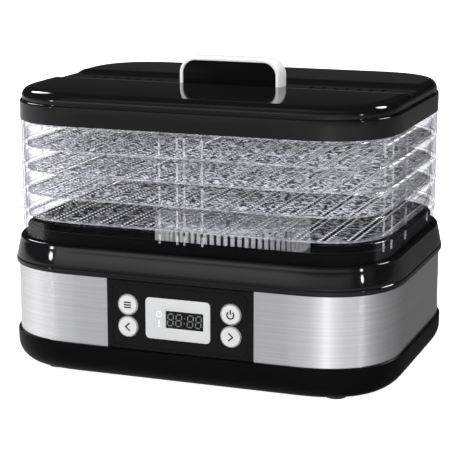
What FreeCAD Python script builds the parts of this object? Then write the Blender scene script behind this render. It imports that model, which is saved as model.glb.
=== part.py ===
import FreeCAD, Part
import math
import os

# Five-tray food dehydrator: fan-and-heater base, clear stacking trays, lid with a bridge handle.
# Millimetres.  +Z is up, -Y is the control-panel side.  The origin is on the table,
# at the centre of the base outline.

V = FreeCAD.Vector

# ---- driving dimensions -------------------------------------------------------------------
BAND_HALF_X = 165.0        # outside of the steel band, half width
BAND_HALF_Y = 123.0        # outside of the steel band, half depth
BAND_CORNER = 62.0         # plan radius of the band's corners
LIP_PROUD = 2.3            # pan and shoulder stand this far outside the band
FOOT_HEIGHT = 3.0
PAN_TOP = 30.0             # bottom edge of the steel band
BAND_TOP = 87.5
SHOULDER_BOTTOM = 88.0
LIP_TOP = 92.5
FACET_TOP = 108.5
LEDGE_TOP = 110.5          # the bottom tray stands here
COLLAR_TOP = 119.5
WELL_FLOOR = 94.0
WALL = 2.2                 # moulded wall thickness

TRAY_COUNT = 5
TRAY_PITCH = 19.4
TRAY_FIRST_FLOOR = LEDGE_TOP + 18.6
TRAY_HEAD = 0.8            # the rim stands this far above the floor

LID_INSET = 3.6            # lid outline, inside the band outline
LID_RIM_TOP = 223.3
LID_NECK_TOP = 225.0
LID_TOP = 233.5
TROUGH_FLOOR = 231.0
HANDLE_TOP = 254.2
HANDLE_HALF_X = 44.0
HANDLE_HALF_Y = 10.0

PANEL_HALF_X = 62.2
BUTTON_X = 43.8
BUTTON_ROWS = (67.4, 49.3)  # heights of the upper and lower buttons
BUTTON_R = 7.9
BUTTON_FRONT = 125.2        # how far the caps stand in front of the origin

DUCT_R = 58.0
FAN_COVER_R = 66.5
FAN_COVER_TOP = 121.0
SIDE_SLOTS = 72
TOP_SLOTS = 24
SHAFT_R = 2.5

os.makedirs("parts", exist_ok=True)


# ---- helpers ------------------------------------------------------------------------------
def outline(inset, z):
    """Rounded rectangle, parallel to the band's outside and this far inside it."""
    x, y, r = BAND_HALF_X - inset, BAND_HALF_Y - inset, BAND_CORNER - inset
    return rounded_wire(0, 0, x, y, r, z)


def rounded_wire(cx, cy, half_x, half_y, r, z):
    corners = ((1, 1, 0), (-1, 1, 90), (-1, -1, 180), (1, -1, 270))
    arcs = []
    for sx, sy, start in corners:
        centre = V(cx + sx * (half_x - r), cy + sy * (half_y - r), z)
        circle = Part.Circle(centre, V(0, 0, 1), r)
        arcs.append(Part.ArcOfCircle(circle, math.radians(start), math.radians(start + 90)).toShape())
    edges = []
    for arc, following in zip(arcs, arcs[1:] + arcs[:1]):
        edges.append(arc)
        a, b = arc.Vertexes[-1].Point, following.Vertexes[0].Point
        if a.distanceToPoint(b) > 1e-6:
            edges.append(Part.makeLine(a, b))
    return Part.Wire(Part.__sortEdges__(edges))


def slab(inset, z0, z1):
    """A solid with the base's plan, between two heights."""
    return Part.Face(outline(inset, z0)).extrude(V(0, 0, z1 - z0))


def taper(inset0, z0, inset1, z1):
    return Part.makeLoft([outline(inset0, z0), outline(inset1, z1)], True, True)


def ring(outer, inner, z0, z1):
    """A wall that follows the plan, between two insets and two heights."""
    return slab(outer, z0, z1).cut(slab(inner, z0 - 1, z1 + 1))


def box(x0, x1, y0, y1, z0, z1):
    return Part.makeBox(x1 - x0, y1 - y0, z1 - z0, V(x0, y0, z0))


def rounded_box(half_x, half_y, r, z0, z1, cx=0, cy=0):
    return Part.Face(rounded_wire(cx, cy, half_x, half_y, r, z0)).extrude(V(0, 0, z1 - z0))


def post(r, z0, z1, x=0, y=0):
    return Part.makeCylinder(r, z1 - z0, V(x, y, z0), V(0, 0, 1))


def tube(r_out, r_in, z0, z1, x=0, y=0):
    return post(r_out, z0, z1, x, y).cut(post(r_in, z0 - 1, z1 + 1, x, y))


def rod_y(r, y0, y1, x, z):
    """A round bar along Y."""
    return Part.makeCylinder(r, y1 - y0, V(x, y0, z), V(0, 1, 0))


def front_plate(half_x, half_z, r, y0, y1, cx, cz):
    """A rounded plate that stands upright and faces -Y."""
    plate = rounded_box(half_x, half_z, r, 0, y1 - y0)
    plate.rotate(V(0, 0, 0), V(1, 0, 0), 90)
    plate.translate(V(cx, y1, cz))
    return plate


def fuse(shapes):
    first, *rest = shapes
    return first.multiFuse(rest).removeSplitter() if rest else first


def edges_at(shape, z, tolerance=1e-3):
    """Every edge that lies wholly at one height."""
    return [e for e in shape.Edges
            if abs(e.BoundBox.ZMin - z) < tolerance and abs(e.BoundBox.ZMax - z) < tolerance]


def four(x, y):
    return [(sx * x, sy * y) for sx in (1, -1) for sy in (1, -1)]


def save(name, shape):
    assert shape.isValid(), name
    shape.exportStep(f"parts/{name}.step")


# ---- bottom pan, feet and screws ----------------------------------------------------------
FOOT_AT = four(121, 93)
BOSS_AT = four(128, 66)
PAN_FLOOR = 2.5
PAN_ROLL = 18.0


def bottom_pan():
    outer = slab(-LIP_PROUD, FOOT_HEIGHT, PAN_TOP)
    outer = outer.makeFillet(PAN_ROLL, edges_at(outer, FOOT_HEIGHT))
    inner = slab(2.0, FOOT_HEIGHT + PAN_FLOOR, PAN_TOP + 1)
    inner = inner.makeFillet(PAN_ROLL - PAN_FLOOR, edges_at(inner, FOOT_HEIGHT + PAN_FLOOR))
    pan = outer.cut(inner)
    screw_posts = [post(5.5, FOOT_HEIGHT + PAN_FLOOR - 1, 12, x, y) for x, y in BOSS_AT]
    board_posts = [post(3, FOOT_HEIGHT + PAN_FLOOR - 1, 14, x, y) for x, y in POWER_BOARD_POSTS]
    pan = fuse([pan] + screw_posts + board_posts)
    cuts = [post(1.8, 0, 13, x, y) for x, y in BOSS_AT]
    cuts += [post(4.0, 0, FOOT_HEIGHT + 3, x, y) for x, y in BOSS_AT]
    cuts += [post(3.0, 0, 8, x, y) for x, y in FOOT_AT]
    cuts += intake_slots()
    return pan.cut(Part.Compound(cuts))


def intake_slots():
    """Rows of slots under the fan, inside a circle."""
    slots = []
    for row in range(-5, 6):
        y = row * 9.0
        reach = math.sqrt(54.0 ** 2 - y ** 2)
        for side in (-1, 1):
            x0, x1 = sorted((side * 3.0, side * reach))
            slots.append(box(x0, x1, y - 2.0, y + 2.0, 0, 8))
    return slots


def rubber_feet():
    feet = []
    for x, y in FOOT_AT:
        pad = post(9.0, 0, FOOT_HEIGHT, x, y)
        pad = pad.makeFillet(1.0, edges_at(pad, 0))
        feet.append(fuse([pad, post(2.9, FOOT_HEIGHT - 0.5, 7.5, x, y)]))
    return Part.Compound(feet)


def base_screws():
    screws = []
    for x, y in BOSS_AT:
        head = post(3.6, FOOT_HEIGHT + 0.7, FOOT_HEIGHT + 3.0, x, y)
        slot = box(x - 2.5, x + 2.5, y - 0.4, y + 0.4, 0, FOOT_HEIGHT + 1.5)
        screws.append(fuse([head.cut(slot), post(1.5, FOOT_HEIGHT + 2.5, 22, x, y)]))
    return Part.Compound(screws)


# ---- steel band and upper housing ---------------------------------------------------------
GLAND_AT = (95.0, 46.0)    # X and Z of the mains cord's way in, at the back


def steel_band():
    band = ring(0, 0.6, PAN_TOP, BAND_TOP)
    gap = box(-PANEL_HALF_X - 0.3, PANEL_HALF_X + 0.3, -140, -100, 0, 120)
    return band.cut(Part.Compound([gap, rod_y(6.2, 110, 140, *GLAND_AT)]))


def upper_housing():
    skin = 0.8                     # the band and its gap stand outside the wall
    body = fuse([
        slab(skin, PAN_TOP, SHOULDER_BOTTOM),
        slab(-LIP_PROUD, SHOULDER_BOTTOM, LIP_TOP),
        taper(-LIP_PROUD + 0.4, LIP_TOP, 1.6, FACET_TOP),
        taper(1.6, FACET_TOP, 3.2, LEDGE_TOP),
    ])
    body = body.cut(slab(skin + WALL, PAN_TOP - 1, WELL_FLOOR - WALL))
    body = body.cut(ring(4.2, 8.6, WELL_FLOOR - WALL - 1, LEDGE_TOP - 2.0))
    collar = slab(8.0, LEDGE_TOP - 1, COLLAR_TOP)
    collar = collar.makeFillet(1.1, edges_at(collar, COLLAR_TOP))
    body = fuse([body, collar])
    well = slab(11.0, WELL_FLOOR, COLLAR_TOP + 1)
    well = well.makeFillet(4.0, edges_at(well, WELL_FLOOR))
    bosses = [post(5.0, 12, WELL_FLOOR - WALL + 0.5, x, y) for x, y in BOSS_AT]
    body = fuse([body.cut(well)] + bosses)
    cuts = [post(1.6, 10, 24, x, y) for x, y in BOSS_AT]
    cuts.append(post(DUCT_R + 0.5, 80, 100))
    cuts.append(box(-55.5, 55.5, -130, -115, 36, 82))
    cuts.append(rod_y(5.0, 110, 140, *GLAND_AT))
    return body.cut(Part.Compound(cuts))


def cord_gland():
    x, z = GLAND_AT
    flange = rod_y(8.5, 123.1, 125.0, x, z)
    flange = flange.makeFillet(0.7, [e for e in flange.Edges if abs(e.BoundBox.YMin - 125.0) < 1e-3])
    body = rod_y(4.8, 116.0, 123.5, x, z)
    return fuse([flange, body]).cut(rod_y(3.3, 100, 130, x, z))


# ---- control panel ------------------------------------------------------------------------
PANEL_FRONT = 123.6
DISPLAY_X, DISPLAY_Z = -1.1, 58.3
DISPLAY_HALF = (27.6, 16.9)
WINDOW_X, WINDOW_Z = 4.7, 58.3
WINDOW_HALF = (16.0, 7.1)
BUTTONS = {
    "menu_button": (-BUTTON_X, BUTTON_ROWS[0]),
    "power_button": (BUTTON_X, BUTTON_ROWS[0]),
    "left_arrow_button": (-BUTTON_X, BUTTON_ROWS[1]),
    "right_arrow_button": (BUTTON_X, BUTTON_ROWS[1]),
}
BEZEL_R = 8.7
BOARD_FRONT = 111.4
BOARD_POSTS = [(x, z) for x in (-51.0, 51.0) for z in (39.5, 78.5)]


def control_panel():
    plate = front_plate(PANEL_HALF_X, 28.4, 1.0, -PANEL_FRONT, -122.25, 0, 58.75)
    rear = box(-55.0, 55.0, -122.5, -120.2, 36.5, 81.5)
    posts = [rod_y(3.0, -120.5, -BOARD_FRONT, x, z) for x, z in BOARD_POSTS]
    panel = fuse([plate, rear] + posts)
    cuts = [rod_y(BEZEL_R + 0.1, -130, -118, x, z) for x, z in BUTTONS.values()]
    cuts.append(front_plate(DISPLAY_HALF[0] - 1.5, DISPLAY_HALF[1] - 1.5, 2.0, -130, -118,
                            DISPLAY_X, DISPLAY_Z))
    cuts += [rod_y(1.1, -118.0, -BOARD_FRONT + 1, x, z) for x, z in BOARD_POSTS]
    panel = panel.cut(Part.Compound(cuts))
    return panel.cut(panel_groove())


def panel_groove():
    """A fine line moulded just inside the panel's edge."""
    outer = front_plate(57.6, 25.2, 3.0, -PANEL_FRONT - 1, -PANEL_FRONT + 0.4, 0, 58.75)
    inner = front_plate(57.0, 24.6, 2.4, -PANEL_FRONT - 2, -PANEL_FRONT + 1, 0, 58.75)
    return outer.cut(inner)


def button_bezels():
    rings = []
    for x, z in BUTTONS.values():
        body = rod_y(BEZEL_R, -124.3, -120.2, x, z)
        rings.append(body.cut(rod_y(BUTTON_R + 0.3, -130, -110, x, z)))
    return Part.Compound(rings)


def button(x, z):
    cap = rod_y(BUTTON_R, -BUTTON_FRONT, -120.0, x, z)
    cap = cap.makeFillet(0.6, [e for e in cap.Edges if abs(e.BoundBox.YMax + BUTTON_FRONT) < 1e-3])
    flange = rod_y(BEZEL_R - 0.1, -119.9, -119.0, x, z)
    neck = rod_y(BUTTON_R, -120.5, -119.5, x, z)
    stem = rod_y(1.8, -119.5, -114.5, x, z)
    return fuse([cap, neck, flange, stem])


def display_frame():
    plate = front_plate(*DISPLAY_HALF, 3.5, -124.2, -PANEL_FRONT, DISPLAY_X, DISPLAY_Z)
    tongue = front_plate(DISPLAY_HALF[0] - 1.7, DISPLAY_HALF[1] - 1.7, 1.9, -PANEL_FRONT - 0.1, -121.0,
                         DISPLAY_X, DISPLAY_Z)
    hole = front_plate(*WINDOW_HALF, 0.6, -130, -118, WINDOW_X, WINDOW_Z)
    return fuse([plate, tongue]).cut(hole)


def display_window():
    return front_plate(WINDOW_HALF[0] - 0.05, WINDOW_HALF[1] - 0.05, 0.5, -124.0, -121.8,
                       WINDOW_X, WINDOW_Z)


def display_module():
    x, z = WINDOW_X, WINDOW_Z
    return box(x - 15.5, x + 15.5, -121.7, -BOARD_FRONT, z - 6.8, z + 6.8)


def control_board():
    board = box(-54.0, 54.0, -BOARD_FRONT, -BOARD_FRONT + 1.6, 37.0, 81.0)
    return board.cut(Part.Compound([rod_y(1.3, -120, -100, x, z) for x, z in BOARD_POSTS]))


def board_screws():
    back = -BOARD_FRONT + 1.6
    screws = []
    for x, z in BOARD_POSTS:
        screws.append(fuse([rod_y(2.3, back, back + 1.5, x, z), rod_y(1.0, back - 6, back + 0.5, x, z)]))
    return Part.Compound(screws)


def tact_switches():
    switches = []
    for x, z in BUTTONS.values():
        body = box(x - 3, x + 3, -BOARD_FRONT - 1.3, -BOARD_FRONT, z - 3, z + 3)
        switches.append(fuse([body, rod_y(1.6, -113.2, -BOARD_FRONT - 1, x, z)]))
    return Part.Compound(switches)


# ---- power board --------------------------------------------------------------------------
POWER_BOARD_X = (-142.0, -84.0)
POWER_BOARD_Y = (-36.0, 44.0)
POWER_BOARD_POSTS = [(x, y) for x in (-137.0, -89.0) for y in (-31.0, 39.0)]
BOARD_TOP = 15.6


def power_board():
    board = box(*POWER_BOARD_X, *POWER_BOARD_Y, 14.0, BOARD_TOP)
    return board.cut(Part.Compound([post(1.3, 10, 20, x, y) for x, y in POWER_BOARD_POSTS]))


def relay():
    return box(-138.0, -119.0, -22.0, -6.0, BOARD_TOP, BOARD_TOP + 15.0)


def transformer():
    core = box(-112.0, -90.0, 0.0, 24.0, BOARD_TOP, BOARD_TOP + 18.0)
    coil = box(-108.0, -94.0, -4.0, 28.0, BOARD_TOP + 3, BOARD_TOP + 15.0)
    return fuse([core, coil])


def filter_capacitor():
    can = post(6.5, BOARD_TOP, BOARD_TOP + 20.0, -130.0, 14.0)
    return can.makeFillet(1.0, edges_at(can, BOARD_TOP + 20.0))


def mains_terminal():
    block = box(-128.0, -98.0, 31.0, 41.0, BOARD_TOP, BOARD_TOP + 9.0)
    cuts = [post(1.8, BOARD_TOP + 4, BOARD_TOP + 12, x, 36.0) for x in (-123, -113, -103)]
    return block.cut(Part.Compound(cuts))


# ---- fan, heater and their duct -----------------------------------------------------------
DUCT_BOTTOM = 48.0
DUCT_TOP = WELL_FLOOR - WALL
BRACKET_ANGLES = (30, 150, 270)
BRACKET_SCREW_AT = [(64 * math.cos(math.radians(a)), 64 * math.sin(math.radians(a))) for a in BRACKET_ANGLES]
BRACKET_THICK = 2.0
MOTOR_R = 24.0
MOTOR_BOTTOM = 16.0


def air_duct():
    wall = tube(DUCT_R + 2, DUCT_R, DUCT_BOTTOM, DUCT_TOP)
    feet = tube(DUCT_R + 10, DUCT_R, DUCT_BOTTOM, DUCT_BOTTOM + 2.5)
    head = tube(DUCT_R + 10, DUCT_R, DUCT_TOP - 2.5, DUCT_TOP)
    duct = fuse([wall, feet, head])
    return duct.cut(Part.Compound([post(1.2, 40, 52, x, y) for x, y in BRACKET_SCREW_AT]))


def motor_bracket():
    low = DUCT_BOTTOM - BRACKET_THICK
    bracket = [tube(DUCT_R + 10, DUCT_R + 0.5, low, DUCT_BOTTOM), post(20, low, DUCT_BOTTOM)]
    for angle in BRACKET_ANGLES:
        arm = box(0, DUCT_R + 3, -6, 6, low, DUCT_BOTTOM)
        arm.rotate(V(0, 0, 0), V(0, 0, 1), angle)
        bracket.append(arm)
    holes = [post(1.6, 40, 52, x, y) for x, y in BRACKET_SCREW_AT] + [post(5, 40, 52)]
    return fuse(bracket).cut(Part.Compound(holes))


def bracket_screws():
    bottom = DUCT_BOTTOM - BRACKET_THICK
    screws = []
    for x, y in BRACKET_SCREW_AT:
        head = post(3.0, bottom - 2, bottom, x, y)
        thread = post(1.1, bottom - 0.5, bottom + 4.4, x, y)
        screws.append(fuse([head, thread]))
    return Part.Compound(screws)


def fan_motor():
    can = post(MOTOR_R, MOTOR_BOTTOM, DUCT_BOTTOM - BRACKET_THICK)
    can = can.makeFillet(2.0, edges_at(can, MOTOR_BOTTOM))
    return can.cut(post(SHAFT_R + 0.05, 20, DUCT_BOTTOM))


def motor_shaft():
    return fuse([post(SHAFT_R, 21, 66), post(4.0, 50, 51.5)])


def fan_impeller():
    hub = post(13.0, 51.5, 64.0).cut(post(11.0, 50, 61.5))
    boss = post(5.0, 51.5, 62.0)
    blades = []
    for k in range(7):
        blade = box(0, 41.0, -11.0, 11.0, -0.8, 0.8)
        blade.rotate(V(0, 0, 0), V(1, 0, 0), 28)
        blade.translate(V(11.6, 0, 57.6))
        blade.rotate(V(0, 0, 0), V(0, 0, 1), k * 360 / 7)
        blades.append(blade)
    fan = fuse([hub, boss] + blades)
    return fan.cut(post(SHAFT_R, 40, 80))


def fan_clip():
    return tube(5.0, SHAFT_R, 64.0, 65.0)


HEATER_Z = 79.0
HEATER_RADII = (24.0, 35.0, 46.0)
COIL_WIRE_R = 1.6


def heater_frame():
    cross = [box(-57.8, 57.8, -0.6, 0.6, 72, 87), box(-0.6, 0.6, -57.8, 57.8, 72, 87)]
    gaps = [Part.makeTorus(r, COIL_WIRE_R + 0.15, V(0, 0, HEATER_Z), V(0, 0, 1)) for r in HEATER_RADII]
    return fuse(cross).cut(Part.Compound(gaps))


def heater_coils():
    centre = V(0, 0, HEATER_Z)
    return Part.Compound([Part.makeTorus(r, COIL_WIRE_R, centre, V(0, 0, 1)) for r in HEATER_RADII])


def thermal_fuse():
    return Part.makeCylinder(2.0, 14.0, V(14, 0, 89.0), V(1, 0, 0))


def temperature_sensor():
    bead = Part.makeCylinder(2.2, 5.0, V(-30, 0, 89.2), V(-1, 0, 0))
    bead = bead.makeFillet(1.0, [e for e in bead.Edges if abs(e.BoundBox.XMin + 30) < 1e-3])
    stem = Part.makeCylinder(1.2, 12.0, V(-34, 0, 89.2), V(-1, 0, 0))
    return fuse([bead, stem])


def fan_cover():
    """The ribbed turret that stands in the well and lets the warm air out."""
    top = FAN_COVER_TOP
    shell = post(FAN_COVER_R, WELL_FLOOR, top)
    shell = shell.makeFillet(3.0, edges_at(shell, top))
    shell = shell.cut(post(FAN_COVER_R - 2.2, WELL_FLOOR - 1, top - 2.2))
    cuts = []
    for k in range(SIDE_SLOTS):
        slot = box(FAN_COVER_R - 6, FAN_COVER_R + 2, -1.2, 1.2, WELL_FLOOR + 3.0, top - 4.5)
        slot.rotate(V(0, 0, 0), V(0, 0, 1), k * 360 / SIDE_SLOTS)
        cuts.append(slot)
    for k in range(TOP_SLOTS):
        slot = box(24, 56, -1.5, 1.5, top - 4, top + 1)
        slot.rotate(V(0, 0, 0), V(0, 0, 1), (k + 0.5) * 360 / TOP_SLOTS)
        cuts.append(slot)
    return shell.cut(Part.Compound(cuts))


# ---- trays --------------------------------------------------------------------------------
TRAY_SKIRT = 4.8           # insets from the band's outside
TRAY_BEAD = 4.0
TRAY_SKIRT_IN = 6.2
TRAY_COAMING = 7.6
TRAY_COAMING_IN = 9.0
MESH_THICK = 1.6
FLOOR_COLUMNS = 14
FLOOR_ROWS = 9


def floor_windows(floor):
    """Openings between the floor's bars, kept inside the coaming."""
    pitch_x, pitch_y = 21.2, 22.8
    half_x, half_y = 9.0, 9.6
    keep_x, keep_y, keep_r = 152.0, 110.0, 49.0
    windows = []
    for column in range(FLOOR_COLUMNS):
        for row in range(FLOOR_ROWS):
            x = (column - (FLOOR_COLUMNS - 1) / 2) * pitch_x
            y = (row - (FLOOR_ROWS - 1) / 2) * pitch_y
            over_x = max(abs(x) + half_x - (keep_x - keep_r), 0)
            over_y = max(abs(y) + half_y - (keep_y - keep_r), 0)
            if math.hypot(over_x, over_y) < keep_r:
                windows.append(box(x - half_x, x + half_x, y - half_y, y + half_y, floor - 4, floor + 2))
    return windows


def tray_frame(floor):
    """Skirt, rim and coaming, with a ledge inside for the mesh floor."""
    stand = floor + TRAY_HEAD - TRAY_PITCH        # the top of whatever the tray stands on
    thick = ring(TRAY_BEAD + 0.1, TRAY_SKIRT_IN, stand + 1, floor - 2.5)
    faces = [box(-18, 18, -200, 200, 0, 400), box(-200, 200, -38, 38, 0, 400)]
    return fuse([
        ring(TRAY_BEAD, TRAY_SKIRT_IN, stand, stand + 2.6),
        ring(TRAY_SKIRT, TRAY_SKIRT_IN, stand + 2.0, floor - 2.5),
        ring(TRAY_BEAD, TRAY_COAMING_IN, floor - 3.0, floor + TRAY_HEAD),
        ring(TRAY_COAMING, TRAY_COAMING_IN, floor - 1, floor + 12.0),
        ring(TRAY_COAMING, TRAY_COAMING_IN + 1.8, floor - 3.0, floor - MESH_THICK),
    ] + [thick.common(face) for face in faces])


def tray_mesh(floor):
    """The grille that lies on the frame's ledge."""
    plate = slab(TRAY_COAMING_IN + 0.1, floor - MESH_THICK, floor)
    return plate.cut(Part.Compound(floor_windows(floor)))


# ---- lid and handle -----------------------------------------------------------------------
LID_BOTTOM = TRAY_FIRST_FLOOR + (TRAY_COUNT - 1) * TRAY_PITCH + TRAY_HEAD
HANDLE_SCREW_AT = (-26.0, 26.0)
VENTS_PER_SIDE = 7
VENT_FIRST_X = 67.7
VENT_PITCH = 10.2
VENT_Y = 5.0


def lid_shell():
    rim = slab(LID_INSET, LID_BOTTOM, LID_RIM_TOP)
    rim = rim.makeFillet(1.2, edges_at(rim, LID_RIM_TOP))
    neck = slab(LID_INSET + 3.0, LID_RIM_TOP - 1, LID_NECK_TOP + 1)
    crown = slab(LID_INSET + 1.6, LID_NECK_TOP, LID_TOP)
    crown = crown.makeFillet(7.5, edges_at(crown, LID_TOP))
    lid = fuse([rim, neck, crown]).cut(trough())
    hollow = slab(LID_INSET + 2.2, LID_BOTTOM - 1, LID_RIM_TOP - 3)
    upper = slab(LID_INSET + 5.6, LID_RIM_TOP - 4, TROUGH_FLOOR - 2.0)
    upper = upper.makeFillet(3.0, edges_at(upper, TROUGH_FLOOR - 2.0))
    lid = lid.cut(fuse([hollow, upper]))
    cuts = [post(1.7, 225, 235, x, 0) for x in HANDLE_SCREW_AT]
    for side in (-1, 1):
        for k in range(VENTS_PER_SIDE):
            x = side * (VENT_FIRST_X + VENT_PITCH * k)
            cuts.append(rounded_box(1.0, 4.5, 0.95, 225, 235, x, VENT_Y))
    return lid.cut(Part.Compound(cuts))


def trough():
    """A shallow channel across the top, with sloped sides."""
    points = [V(-200, -21, LID_TOP + 0.1), V(-200, -11, TROUGH_FLOOR), V(-200, 30, TROUGH_FLOOR),
              V(-200, 37, LID_TOP + 0.1), V(-200, -21, LID_TOP + 0.1)]
    return Part.Face(Part.makePolygon(points)).extrude(V(400, 0, 0))


def handle_section(half_x, top, r):
    """An arch: straight sides and rounded shoulders, standing in the trough."""
    height = top - TROUGH_FLOOR
    z0 = TROUGH_FLOOR
    bottom = Part.makeLine(V(-half_x, 0, z0), V(half_x, 0, z0))
    right = Part.makeLine(V(half_x, 0, z0), V(half_x, 0, z0 + height - r))
    k = r * math.sqrt(0.5)
    bend = V(half_x - r + k, 0, top - r + k)
    arc_r = Part.Arc(V(half_x, 0, top - r), bend, V(half_x - r, 0, top)).toShape()
    crown = Part.makeLine(V(half_x - r, 0, top), V(-half_x + r, 0, top))
    bend = V(-half_x + r - k, 0, top - r + k)
    arc_l = Part.Arc(V(-half_x + r, 0, top), bend, V(-half_x, 0, top - r)).toShape()
    left = Part.makeLine(V(-half_x, 0, top - r), V(-half_x, 0, z0))
    return Part.Face(Part.Wire([bottom, right, arc_r, crown, arc_l, left]))


def handle_solid(half_x, top, r, half_y):
    solid = handle_section(half_x, top, r).extrude(V(0, 2 * half_y, 0))
    solid.translate(V(0, -half_y, 0))
    return solid


def handle_band():
    outer = handle_solid(HANDLE_HALF_X, HANDLE_TOP, 14.0, HANDLE_HALF_Y)
    inner = handle_solid(HANDLE_HALF_X - 3.0, HANDLE_TOP - 3.0, 11.0, HANDLE_HALF_Y + 2)
    return outer.cut(inner)


def handle_core():
    core = handle_solid(HANDLE_HALF_X - 3.0, HANDLE_TOP - 3.0, 11.0, HANDLE_HALF_Y - 0.5)
    return core.cut(Part.Compound([post(1.3, 225, 242, x, 0) for x in HANDLE_SCREW_AT]))


def handle_screws():
    under = TROUGH_FLOOR - 2.0
    return Part.Compound([fuse([post(3.2, under - 2.2, under, x, 0), post(1.2, under - 1, 241, x, 0)])
                          for x in HANDLE_SCREW_AT])


# ---- write every piece --------------------------------------------------------------------
PIECES = {
    "bottom_pan": bottom_pan,
    "rubber_feet": rubber_feet,
    "base_screws": base_screws,
    "steel_band": steel_band,
    "upper_housing": upper_housing,
    "cord_gland": cord_gland,
    "control_panel": control_panel,
    "button_bezels": button_bezels,
    "display_frame": display_frame,
    "display_window": display_window,
    "display_module": display_module,
    "control_board": control_board,
    "board_screws": board_screws,
    "tact_switches": tact_switches,
    "power_board": power_board,
    "relay": relay,
    "transformer": transformer,
    "filter_capacitor": filter_capacitor,
    "mains_terminal": mains_terminal,
    "air_duct": air_duct,
    "motor_bracket": motor_bracket,
    "bracket_screws": bracket_screws,
    "fan_motor": fan_motor,
    "motor_shaft": motor_shaft,
    "fan_impeller": fan_impeller,
    "fan_clip": fan_clip,
    "heater_frame": heater_frame,
    "heater_coils": heater_coils,
    "thermal_fuse": thermal_fuse,
    "temperature_sensor": temperature_sensor,
    "fan_cover": fan_cover,
    "lid_shell": lid_shell,
    "handle_band": handle_band,
    "handle_core": handle_core,
    "handle_screws": handle_screws,
}

for piece_name, make in PIECES.items():
    save(piece_name, make())

for button_name, (button_x, button_z) in BUTTONS.items():
    save(button_name, button(button_x, button_z))

for level in range(TRAY_COUNT):
    floor_height = TRAY_FIRST_FLOOR + level * TRAY_PITCH
    save(f"tray_{level + 1}_frame", tray_frame(floor_height))
    save(f"tray_{level + 1}_mesh", tray_mesh(floor_height))
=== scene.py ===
"""Five-tray food dehydrator: the visual model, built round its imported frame."""

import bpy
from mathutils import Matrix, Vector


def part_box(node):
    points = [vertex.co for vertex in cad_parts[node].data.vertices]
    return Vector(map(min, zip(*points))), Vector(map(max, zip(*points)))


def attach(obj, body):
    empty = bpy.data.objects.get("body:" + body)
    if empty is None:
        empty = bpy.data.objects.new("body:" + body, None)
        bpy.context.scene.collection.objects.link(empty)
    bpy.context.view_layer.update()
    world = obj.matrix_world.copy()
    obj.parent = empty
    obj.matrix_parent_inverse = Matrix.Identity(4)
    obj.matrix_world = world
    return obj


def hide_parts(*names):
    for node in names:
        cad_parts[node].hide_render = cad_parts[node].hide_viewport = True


bl_info = {
    "name": "Food dehydrator",
    "version": (1, 0, 0),
    "blender": (4, 5, 0),
    "location": "View3D > Sidebar > Dehydrator",
    "description": "Builds a table-top food dehydrator with clear stacking trays",
    "category": "Add Mesh",
}

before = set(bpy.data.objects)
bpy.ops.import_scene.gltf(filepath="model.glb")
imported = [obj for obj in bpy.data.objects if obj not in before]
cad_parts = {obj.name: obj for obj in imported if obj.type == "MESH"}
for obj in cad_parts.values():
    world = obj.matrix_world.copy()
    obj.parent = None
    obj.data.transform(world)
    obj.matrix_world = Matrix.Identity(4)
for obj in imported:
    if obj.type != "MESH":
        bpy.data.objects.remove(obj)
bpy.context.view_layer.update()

import math

import bmesh
import bpy
from bpy.props import FloatProperty, FloatVectorProperty, IntProperty, PointerProperty
from mathutils import Matrix, Vector

MM = 0.001
BAND_LOW, BAND_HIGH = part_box("steel_band")
PAN_LOW, PAN_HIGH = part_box("bottom_pan")
HOUSING_LOW, HOUSING_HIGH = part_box("upper_housing")
LID_LOW, LID_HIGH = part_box("lid_shell")
HANDLE_LOW, HANDLE_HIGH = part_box("handle_band")
TRAYS = [f"tray_{n}" for n in range(1, 6)]
PANE = (0.97, 0.97, 0.98, 1)             # what thick clear plastic lets through


# ---- sizes and colours that a user may change ---------------------------------------------
class DehydratorSizes(bpy.types.PropertyGroup):
    corner_reach: FloatProperty(
        name="Corner reach", description="How far from each corner the plan starts to turn",
        default=0.073, unit="LENGTH")
    corner_fullness: FloatProperty(
        name="Corner fullness", description="Exponent of the corner curve; 2 is a circle", default=2.44)
    slat_pitch: FloatProperty(
        name="Slat pitch", description="Distance between the fine slats of a tray floor",
        default=0.0055, unit="LENGTH")
    pip_radius: FloatProperty(
        name="Pip radius", description="Radius of the pips that lift the food off a tray floor",
        default=0.0011, unit="LENGTH")
    slat_width: FloatProperty(
        name="Slat width", description="Width of a fine slat", default=0.0013, unit="LENGTH")
    beam_pitch: FloatProperty(
        name="Beam pitch", description="Distance between the long beams of a tray floor",
        default=0.0206, unit="LENGTH")
    beam_width: FloatProperty(
        name="Beam width", description="Width of a long beam", default=0.0018, unit="LENGTH")
    cover_ribs: IntProperty(
        name="Cover ribs", description="Number of ribs round the fan cover", default=72)
    vents_per_side: IntProperty(
        name="Vents per side", description="Vent slots on each side of the handle", default=7)
    vent_pitch: FloatProperty(
        name="Vent pitch", description="Distance between vent slots", default=0.0102, unit="LENGTH")


class DehydratorColours(bpy.types.PropertyGroup):
    black: FloatVectorProperty(
        name="Black plastic", description="Colour of the glossy housing and lid",
        default=(0.0045, 0.0045, 0.005), size=3, subtype="COLOR")
    steel: FloatVectorProperty(
        name="Steel", description="Colour of the brushed band",
        default=(0.86, 0.86, 0.875), size=3, subtype="COLOR")
    white: FloatVectorProperty(
        name="White plastic", description="Colour of the handle, the buttons and the fan cover",
        default=(0.90, 0.90, 0.905), size=3, subtype="COLOR")
    clear: FloatVectorProperty(
        name="Clear plastic", description="Tint of the trays",
        default=(0.970, 0.970, 0.979), size=3, subtype="COLOR")
    floor: FloatVectorProperty(
        name="Floor", description="Colour of the studio floor", default=(0.9, 0.9, 0.9), size=3,
        subtype="COLOR")


def sizes():
    return bpy.context.scene.dehydrator_sizes


def colours():
    return bpy.context.scene.dehydrator_colours


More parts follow.
